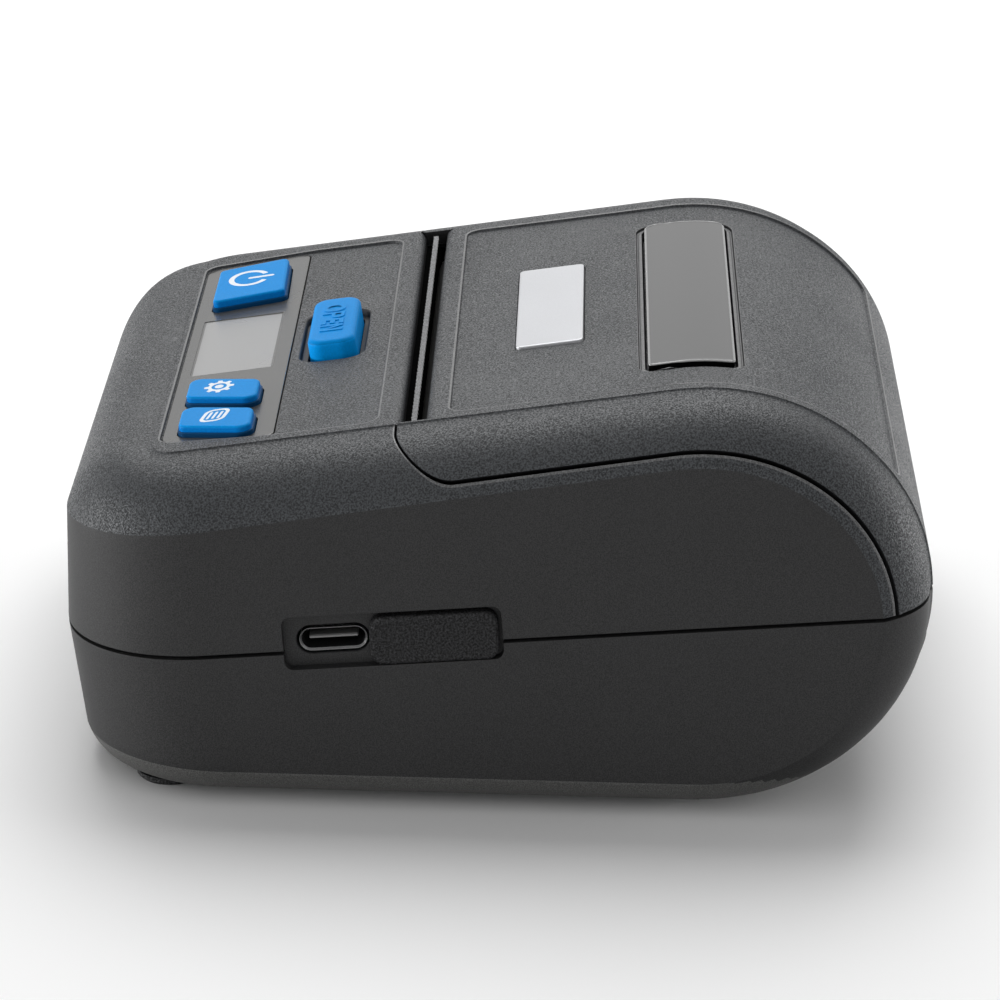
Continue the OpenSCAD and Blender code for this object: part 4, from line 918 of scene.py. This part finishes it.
def buildLower():
    # the leaning wall in front, the bottom's rounded edge, the roll end below the belt, the sides and the underside
    skin = newSkin()
    lip, e, w = lipSteps, case["edge"], -case["halfGap"]
    low, bottom, lean = case["lowCrease"], case["bottom"], case["lean"]
    along = np.linspace(0, 1, 26)[1:]
    ringX, ringY = cornerLine(case["cornerR"], along, case["front"])
    nOut = outwards(ringX, ringY)
    zBelt = beltZ(ringY)
    rows = []
    drops = np.concatenate([lip[::-1], np.linspace(0.7, 1.4, 2)])
    zs = [beltZ(ringY, w - d) for d in drops]
    zs += [zs[-1] + (low - zs[-1]) * f for f in np.linspace(0, 1, 12)[1:]]
    for i, z in enumerate(zs):
        p = np.stack([ringX, ringY + lean * (zBelt - z) / (zBelt - low), z], -1)
        if i < len(lip):
            p = p - nOut * inset(lip[::-1][i], e)
        rows.append(p)
    lipIn = np.stack([ringX, ringY, zs[0]], -1) - nOut * case["wall"]
    addBoth(skin, np.array([lipIn] + rows), "out", 1)
    # bottom edge: a quarter turn that runs on along both sides, in the paler material as painted light from the
    # floor
    steps = np.array([0, 0.04, 0.1, 0.18, 0.28, 0.4, 0.53, 0.67, 0.82, 1.0])
    ySide = np.linspace(rollSide["y"], turnY + lean, 24)[:-1]
    # the roll end's lowest line runs from the side line's centre to the middle line's
    rearShift = (roll["y"] - rollSide["y"]) * np.linspace(1.0, 0.0, 24)[:-1]
    fillet = []
    for s in steps:
        d, dip = case["lowShoulder"] * s, float(fall(1 - s))
        x, y = cornerLine(case["cornerR"] - d, along, case["front"] + lean + d)
        x = np.concatenate([np.full(len(ySide), case["halfWidth"] - d), x])
        y = np.concatenate([ySide + (dip if s > 0 else 0.0) * rearShift, y])
        fillet.append(np.stack([x, y, np.full(len(x), low - (low - bottom) * dip)], -1))
    fillet = np.array(fillet)
    addBoth(skin, fillet, "out", 3)
    # roll end from the belt down to the bottom, its lowest faces in the paler material as painted floor light
    xr = np.concatenate([case["halfWidth"] - np.array([0, 0.05, 0.15, 0.35, 0.7, 1.2, 1.8, 2.6, 3.4, 4.2]),
                         case["halfWidth"] - np.linspace(case["lowShoulder"], case["shoulder"], 9),
                         np.linspace(topX, 0, 14)[1:]])
    t0 = beltPlace(xr, w)
    t1 = t0[:, None] + lip[0]
    down = t1 + (placeAt(-90.0) - t1) * np.linspace(0, 1, 60)[None, 1:]
    t = np.concatenate([t0[:, None] + lip[::-1][None], down], 1)
    xx = np.broadcast_to(xr[:, None], t.shape)
    p, n = skinPoint(xx, t), skinNormal(xx, t)
    grid = roundedBy(p, n, inset(t - t0[:, None], e))
    grid = np.concatenate([p[:, :1] - n[:, :1] * case["wall"], grid], 1)
    addBoth(skin, grid, "out", np.where(grid[1:, 1:, 2] < low + 0.2, 3, 1))
    # flat sides
    rearEdge = p[0][len(lip) - 1:, 1:]
    frontEdge = np.array([r[0] for r in rows])[len(lip):, 1:]
    lowEdge = fillet[0][:len(ySide), 1:]
    addSides(skin, np.concatenate([rearEdge[1:], lowEdge[1:], frontEdge[::-1]]), w, -1)
    addPocket(skin, w, -1)
    # underside, with the recess for the battery door and the opening behind it
    right = fillet[-1][:, :2]
    backLine = p[:, -1, :2][xr <= case["halfWidth"] - case["lowShoulder"]]
    outer = counterClockwise(np.concatenate([right, mirrorX(right)[::-1][1:],
                                             mirrorX(backLine)[:-1], backLine[::-1]]))
    under = lambda h: (lambda q: np.stack([q[:, 0], q[:, 1], np.full(len(q), h)], -1))
    door, bay = boxLoop(*doorPlan["door"], 1.0, 6), boxLoop(*doorPlan["bay"], 1.0, 6)
    ledge = bottom + doorPlan["deep"]
    addPlate(skin, outer, [door], under(bottom), (0, 0, -1), 1)
    addBand(skin, [under(ledge)(door), under(bottom)(door)], None, 1)
    addPlate(skin, door, [bay], under(ledge), (0, 0, -1), 1)
    toObject("lowerCase", skin, "base", [caseTop, caseSide, blackPartsAndGapShade, caseFootFloorLight], ("lower_case",))


buildLower()
print("lower case built")


# panel pieces
def prism(skin, loop, rows, place, mat=0, cap=True, towards=(0, 0, 1), floor=False, holes=()):
    # a body raised on a loop: rows are (outward step, height) from the foot to the top, closed by a cap;
    # mat is one material number, or one for each row of the wall and a last one for the cap
    loops = [place(grow(loop, d), h) for d, h in rows]
    mid = np.mean(loops[0], 0)
    each = np.broadcast_to(mat, (len(rows),))
    addBand(skin, loops, lambda middles: middles - mid, each[:-1])
    if cap:
        addPlate(skin, grow(loop, rows[-1][0]), holes, lambda q: place(q, rows[-1][1]), towards, int(each[-1]))
    if floor:
        addPlate(skin, grow(loop, rows[0][0]), [], lambda q: place(q, rows[0][1]), -np.asarray(towards, float),
                 int(each[-1]))


def raised(height, r, foot=-1.5):
    # rows of a side wall with a rounded upper edge
    return [(0.0, foot), (0.0, height - r - 0.2)] + [(d, height + h) for d, h in roundEdge(r, 5)]


labelTop = label["top"]
panelTop = topPlace()


def arcBand(cx, cy, rx, ry, width, start, end, steps=40):
    # a ring's loop: the outer arc of an ellipse from start to end in degrees, and back along the inner one
    t = np.radians(np.linspace(start, end, steps))
    outer = np.stack([cx + rx * np.cos(t), cy + ry * np.sin(t)], -1)
    inner = np.stack([cx + (rx - width) * np.cos(t[::-1]), cy + (ry - width) * np.sin(t[::-1])], -1)
    return np.concatenate([outer, inner])


def barLoop(x0, y0, x1, y1, width):
    # a straight stroke with round ends
    d = np.array([x1 - x0, y1 - y0]) / math.hypot(x1 - x0, y1 - y0)
    t = np.linspace(-math.pi / 2, math.pi / 2, 7)[:, None]
    side = np.array([-d[1], d[0]])
    head = np.array([x1, y1]) + width / 2 * (d * np.cos(t) + side * np.sin(t))
    tail = np.array([x0, y0]) - width / 2 * (d * np.cos(t) + side * np.sin(t))
    return np.concatenate([head, tail])


def gearLoop(cx, cy, rx, ry, teeth=8):
    # a gear's outline: each tooth is a flat top between two sloping flanks
    step = 2 * math.pi / teeth
    t = np.concatenate([i * step + np.array([-0.3, -0.17, 0.17, 0.3, 0.42]) * step for i in range(teeth)])
    r = np.tile([0.76, 1.0, 1.0, 0.76, 0.75], teeth)
    return np.stack([cx + rx * r * np.cos(t), cy + ry * r * np.sin(t)], -1)


def ellipse(cx, cy, rx, ry, steps=28):
    # the plan of an ellipse
    t = np.linspace(0, 2 * math.pi, steps + 1)[:-1]
    return np.stack([cx + rx * np.cos(t), cy + ry * np.sin(t)], -1)


def slant(loop):
    # the loop leaned over, as the feed sign is
    return loop - np.stack([0 * loop[:, 0], 0.2 * (loop[:, 0] - 33.5)], -1)


# printed signs on the caps: outlines with their holes
signs = dict(
    power=[(arcBand(-26.4, -37.9, 3.6, 3.0, 0.8, 118, 422), []),
           (barLoop(-26.4, -37.7, -26.65, -34.6, 0.75), [])],
    settings=[(gearLoop(21.6, -38.4, 2.45, 2.05), [ellipse(21.6, -38.4, 1.25, 1.05)]),
              (ellipse(21.6, -38.4, 0.72, 0.6), [])],
    feed=[(slant(boxLoop(31.2, 35.9, -39.7, -36.3, 1.3, 6)),
           [slant(boxLoop(31.7, 35.4, -39.2, -36.8, 0.85, 6))])]
    + [(slant(barLoop(32.4, -38.72 + 0.72 * i, 34.7, -38.72 + 0.72 * i, 0.36)), []) for i in range(3)])

for name, button in buttons.items():
    top = button["height"] + labelTop
    skin = newSkin()
    # the wall's lower rows take the darker blue as painted shade, and the foot below the cap the navy painted shade
    prism(skin, capLoop(name, -0.12), raised(top, 0.4), panelTop, [3, 3, 3, 0, 0, 0, 0, 0])
    foot = [(0.1, -1.9), (0.12, labelTop + 0.5), (0.06, labelTop + 0.6), (-0.16, labelTop + 0.62)]
    prism(skin, capLoop(name), foot, panelTop, 1, cap=False)
    for outline, gaps in signs[name]:
        prism(skin, outline, [(0.0, top - 0.02), (0.0, top + 0.015)], panelTop, 2, holes=gaps)
    toObject(name + "Cap", skin, name + "_key", [blueGloss, blueFootShade, signWhite, capWallShade], (name + "_button",))

# raised letters of the lid's opening key: the left end and the width of each
letterX = dict(O=(-6.1, 3.1), P=(-2.5, 2.4), E=(0.45, 2.1), N=(3.0, 2.5))


def letterParts(letter, stroke=0.62, h=3.1, y0=-25.55):
    # the outlines of a letter in strokes of one width, each with its holes
    x, w = letterX[letter]
    if letter == "O":
        gap = boxLoop(x + stroke, x + w - stroke, y0 + stroke, y0 + h - stroke, 0.8, 8)
        return [(boxLoop(x, x + w, y0, y0 + h, 1.35, 8), [gap])]
    if letter == "P":
        m = y0 + 0.42 * h
        bowl = roundCorners([(x, m), (x + w, m), (x + w, y0 + h), (x, y0 + h)], [0.05, 0.85, 0.85, 0.05], 6)
        gap = roundCorners([(x + stroke, m + stroke * 0.8), (x + w - stroke, m + stroke * 0.8),
                            (x + w - stroke, y0 + h - stroke * 0.8), (x + stroke, y0 + h - stroke * 0.8)],
                           [0.05, 0.3, 0.3, 0.05], 4)
        return [(bowl, [gap]), (boxLoop(x, x + stroke, y0, m + 0.01, 0.04, 1), [])]
    if letter == "E":
        k = h / 2
        shape = [(0, 0), (w, 0), (w, stroke), (stroke, stroke), (stroke, k - stroke / 2),
                 (w * 0.9, k - stroke / 2), (w * 0.9, k + stroke / 2), (stroke, k + stroke / 2),
                 (stroke, h - stroke), (w, h - stroke), (w, h), (0, h)]
    else:
        shape = [(0, 0), (stroke, 0), (stroke, h * 0.68), (w - stroke, 0), (w, 0), (w, h), (w - stroke, h),
                 (w - stroke, h * 0.32), (stroke, h), (0, h)]
    return [(np.array(shape, float) + [x, y0], [])]


openKey = dict(x=9.8, y0=-27.2, y1=-20.6, corner=2.2, height=1.9, edge=0.75)
skin = newSkin()
openLoop = boxLoop(-openKey["x"], openKey["x"], openKey["y0"], openKey["y1"], openKey["corner"], 8)
top = openKey["height"]
# the key's walls take the paler blue as painted light
prism(skin, openLoop, raised(top, openKey["edge"], -2.0), panelTop, [1, 1, 1, 0, 0, 0, 0, 0])
for letter in letterX:
    for outline, gaps in letterParts(letter):
        prism(skin, outline, [(0.06, top - 0.05), (0.05, top + 0.06), (0.0, top + 0.14)], panelTop, holes=gaps)
toObject("openCap", skin, "open_key", [blueGloss, blueWallLight], ("open_button",))

# label with its openings, and the frosted margin of the display sunk a little below the label's clear top
skin = newSkin()
plan = labelLoop()
openings = [capLoop(name, 0.3) for name in buttons]
pane = boxLoop(display["x0"], display["x1"], display["y0"], display["y1"], display["corner"], 4)
rows = [(0.0, labelTop - 0.45), (0.0, labelTop - 0.14), (-0.04, labelTop - 0.06), (-0.1, labelTop - 0.015),
        (-0.18, labelTop)]
prism(skin, plan, rows, panelTop, cap=False)
addPlate(skin, grow(plan, rows[-1][0]), openings + [pane], topPlace(labelTop), (0, 0, 1))
for opening in openings:
    addBand(skin, [panelTop(opening, labelTop), panelTop(opening, labelTop - 0.45)], None)
margin = [(0.0, labelTop), (-0.02, labelTop - 0.08), (-0.3, labelTop - 0.09)]
addBand(skin, [panelTop(grow(pane, d), h) for d, h in margin], (0, 0, 1), 1)
toObject("labelSheet", skin, "base", [labelGrey, labelMargin], ("control_label",))

skin = newSkin()
prism(skin, grow(pane, -0.04), [(0, labelTop - 1.2), (0, labelTop - 0.14), (-0.05, labelTop - 0.1)], panelTop)
toObject("displayPane", skin, "base", [displayGrey], ("display_window",))

skin = newSkin()
rows = [(0, -1.0), (0, -0.2), (-0.05, -0.08), (-0.16, -0.02), (-0.3, 0.0), (-0.5, -0.03)]
prism(skin, badgeLoop(), rows, skinPlace())
toObject("lidBadge", skin, "lid", [badgeSilver], ("lid_badge",))

# smoked window, bent with the lid, with a raised rim in a pale grey as a painted highlight and its walls below
# painted black as shade
skin = newSkin()
bends = [v for v in bendY + np.arange(0, 40) * 1.1 if v < 60]
loop = windowLoop(0.0, bends)
place = skinPlace()
rows = [(-0.05, -1.6), (-0.05, -0.4), (0.0, -0.3), (0.0, -0.12), (-0.05, 0.0), (-0.22, 0.1), (-0.34, 0.09),
        (-0.44, 0.06)]
addBand(skin, [place(grow(loop, d), h) for d, h in rows], "out", [2, 2, 2, 1, 1, 1, 0])
addPlate(skin, grow(loop, rows[-1][0]), [], lambda q: place(q, rows[-1][1]), "out",
         lines=acrossLines(bends, windowSize["side"] - 1.0), smooth=True)
toObject("lidWindow", skin, "lid", [smoked, windowRimHighlight, gapShadeBlack], ("lid_window",))

# rubber flap over the rear half of the port's recess, with its stem into the case; w is the height above the belt
flap = dict(y0=-3.05, y1=13.95, w0=-2.4, w1=4.35, corner=1.7, proud=0.2, edge=0.5)
skin = newSkin()
flapLoop = boxLoop(flap["y0"], flap["y1"], flap["w0"], flap["w1"], flap["corner"], 8)
flapPlace = lambda q, h=0.0: sidePlace(case["halfWidth"])(fromBelt(q), h)
rows = [(0.0, -port["depth"] + 0.05), (0.0, flap["proud"] - flap["edge"])]
rows += [(-flap["edge"] * (1 - math.cos(t)), flap["proud"] - flap["edge"] * (1 - math.sin(t)))
         for t in np.linspace(0.2, math.pi / 2, 6)]
rows += [(-0.9, flap["proud"]), (-1.1, flap["proud"] - 0.04), (-1.5, flap["proud"] - 0.05)]
prism(skin, flapLoop, rows, flapPlace, towards=(1, 0, 0), floor=True)
stem = ellipse(0.1, 0.0, 1.2, 1.2, 24) + [0.0, 1.25]
prism(skin, stem, [(0.35, -7.6), (0.45, -7.3), (0.45, -6.9), (0.35, -6.6), (0.0, -6.6), (0.0, -1.5)], flapPlace,
      towards=(1, 0, 0), cap=False, floor=True)
toObject("portFlap", skin, "cover", [flapRubber], ("port_cover",))

# oval socket shell and its tongue, as x0, x1, y0, y1 and corner along the belt
socket = dict(shell=(-12.37, -3.43, -0.45, 2.75, 1.55), tongue=(-11.15, -4.65, 0.95, 1.4, 0.2))
skin = newSkin()
shell = boxLoop(*socket["shell"], 8)
# the shell's inner wall and floor are painted black as shade
prism(skin, shell, [(0.0, -8.8), (0.0, -1.66), (-0.02, -1.6), (-0.04, -1.6), (-0.27, -1.9), (-0.27, -7.6)],
      flapPlace, [0, 0, 0, 0, 1, 1], towards=(1, 0, 0), floor=True)
toObject("socketShell", skin, "base", [socketMetal, blackPartsAndGapShade], ("usb_shell",))
skin = newSkin()
tongue = boxLoop(*socket["tongue"], 4)
prism(skin, tongue, [(0.0, -7.6), (0.0, -2.5), (-0.12, -2.3)], flapPlace, towards=(1, 0, 0), floor=True)
toObject("socketTongue", skin, "base", [tonguePlastic], ("usb_tongue",))

# tear bar: a plate under the case's edge and an upright strip with teeth along its top; the plate, the strip and
# the teeth's rear faces are painted black as shade
tear = dict(y=-12.5, half=41.3, teeth=54, front=0.85, rear=1.55, low=-1.1, tip=0.95, valley=0.35)
skin = newSkin()
tearPlace = lambda q, h=0.0: topPlace()(np.stack([q[..., 0], q[..., 1] + tear["y"]], -1), h)
under = boxLoop(-tear["half"], tear["half"], -4.6, tear["rear"], 0.1, 1)
prism(skin, under, [(0.0, -2.95), (0.0, -2.2), (-0.05, -2.15)], tearPlace, 1, floor=True)
upright = boxLoop(-tear["half"], tear["half"], tear["front"], tear["rear"], 0.05, 1)
prism(skin, upright, [(0.0, -2.2), (0.0, tear["low"])], tearPlace, 1)
steps = np.linspace(-tear["half"], tear["half"], 2 * tear["teeth"] + 1)
tips = tear["low"] + np.where(np.arange(len(steps)) % 2 == 1, tear["tip"], tear["valley"])
edgeRow = lambda y, z: tearPlace(np.stack([steps, np.full(len(steps), y)], -1), z)
root = tear["low"] - 0.02
comb = [edgeRow(tear["front"], root), edgeRow(tear["front"], tips), edgeRow(tear["rear"], tips),
        edgeRow(tear["rear"], root)]
addBand(skin, comb, (0, 0, 1), [0, 0, 1], closed=False)
for k in (0, -1):
    ends = np.array([row[k] for row in comb])
    addFaces(skin, ends, np.array([[0, 1, 2, 3]]), (2 * k + 1) * np.array([-1.0, 0.0, 0.0]), 0, False)
foot = np.array([comb[0][0], comb[0][-1], comb[3][-1], comb[3][0]])
addFaces(skin, foot, np.array([[0, 1, 2, 3]]), (0, 0, -1), 0, False)
toObject("tearStrip", skin, "base", [tearMetal, gapShadeBlack], ("tear_bar",))
print("panel pieces built")

# carried-over parts
finishes = {
    "rubber_feet": flapRubber, "battery_door": caseSide, "battery_pack": wrapBlue, "case_screws": steelBright,
    "display_module": blackPartsAndGapShade, "key_board": boardGreen, "key_switches": blackPartsAndGapShade,
    "board_screws": steelBright, "main_board": boardGreen, "board_parts": blackPartsAndGapShade, "mech_frame": steelBright,
    "frame_screws": steelBright, "paper_guide": blackPartsAndGapShade, "paper_sensor": blackPartsAndGapShade,
    "stepper_motor": castMetal, "gear_post": steelBright, "motor_pinion": brassTurned, "idler_gear": nylon,
    "head_rod": steelBright, "head_bracket": castMetal, "head_strip": ceramicWhite, "head_springs": steelBright,
    "roll_bin": blackPartsAndGapShade, "hinge_rod": steelBright, "platen_holder": steelBright, "platen_bushes": nylon,
    "platen_shaft": steelBright, "platen_rubber": platenRubber, "platen_gear": nylon}
for name, finish in finishes.items():
    mesh = nodes[name].data
    mesh.materials.clear()
    mesh.materials.append(finish)
    mesh.shade_smooth()
    mesh.set_sharp_from_angle(angle=math.radians(30))
print("carried-over parts dressed")

# floor, light and camera
scene = bpy.context.scene
scene.view_settings.view_transform = "Standard"
world = bpy.data.worlds.new("studio")
scene.world = world
world.use_nodes = True
wt = world.node_tree
background = wt.nodes["Background"]
background.inputs["Color"].default_value = (1, 1, 1, 1)
background.inputs["Strength"].default_value = 0.42
shown = node(wt, "ShaderNodeBackground", Strength=1.0)
shown.inputs["Color"].default_value = (1, 1, 1, 1)
path = node(wt, "ShaderNodeLightPath")
seenOrMirrored = node(wt, "ShaderNodeMath", operation="MAXIMUM")  # these rays see white, all others the dimmer fill
whiteRays = node(wt, "ShaderNodeMath", operation="MAXIMUM")
link(wt, path.outputs["Is Camera Ray"], seenOrMirrored.inputs[0])
link(wt, path.outputs["Is Glossy Ray"], seenOrMirrored.inputs[1])
link(wt, seenOrMirrored.outputs[0], whiteRays.inputs[0])
link(wt, path.outputs["Is Transmission Ray"], whiteRays.inputs[1])
mix = node(wt, "ShaderNodeMixShader")
link(wt, whiteRays.outputs[0], mix.inputs["Fac"])
link(wt, background.outputs[0], mix.inputs[1])
link(wt, shown.outputs[0], mix.inputs[2])
link(wt, mix.outputs[0], wt.nodes["World Output"].inputs["Surface"])


def softLamp(name, place, target, size, power):
    # a rectangular lamp turned to face its target
    data = bpy.data.lights.new(name, "AREA")
    data.shape = "RECTANGLE"
    data.size, data.size_y = size
    data.energy = power
    obj = bpy.data.objects.new(name, data)
    scene.collection.objects.link(obj)
    obj.location = place
    obj.rotation_euler = (Vector(target) - Vector(place)).to_track_quat("-Z", "Y").to_euler()


lamps = dict(  # metres and watts
    over=dict(place=(-0.5, 0.0, 0.85), target=(0, 0, 0.03), size=(0.8, 0.9), power=8.8),
    front=dict(place=(0.1, -0.95, 0.05), target=(0, 0, 0.02), size=(0.7, 0.08), power=6.6),
    rear=dict(place=(-0.35, 0.95, 0.07), target=(0, 0, 0.03), size=(0.7, 0.12), power=4.0),
    side=dict(place=(1.1, 0.0, 0.05), target=(0, 0, 0.02), size=(0.9, 0.08), power=1.5))
for name, lamp in lamps.items():
    softLamp(name, **lamp)

floorMesh = bpy.data.meshes.new("floor")
floorMesh.from_pydata([(-3, -3, 0), (3, -3, 0), (3, 3, 0), (-3, 3, 0)], [], [(0, 1, 2, 3)])
floorObj = bpy.data.objects.new("floor", floorMesh)
scene.collection.objects.link(floorObj)
floorMesh.materials.append(material("floor pale", (0.9, 0.9, 0.9), 0.7))

# the camera's place, and the directions of its right, its top and its back
view = dict(lens=157.7, place=(0.58527703, 0.00841004, 0.24321823), right=(-0.02223537, 0.9995603, 0.01961618),
            up=(-0.34977953, -0.02615888, 0.93646676), back=(0.93656813, 0.01396135, 0.35020738))
cam = bpy.data.cameras.new("camera")
cam.sensor_width = 36.0
cam.lens = view["lens"]
cam.clip_start = 0.01
camObj = bpy.data.objects.new("camera", cam)
scene.collection.objects.link(camObj)
turn = Matrix((Vector(view["right"]), Vector(view["up"]), Vector(view["back"]))).transposed().to_4x4()
camObj.matrix_world = Matrix.Translation(view["place"]) @ turn
scene.camera = camObj

print("floor, lamps and camera set")
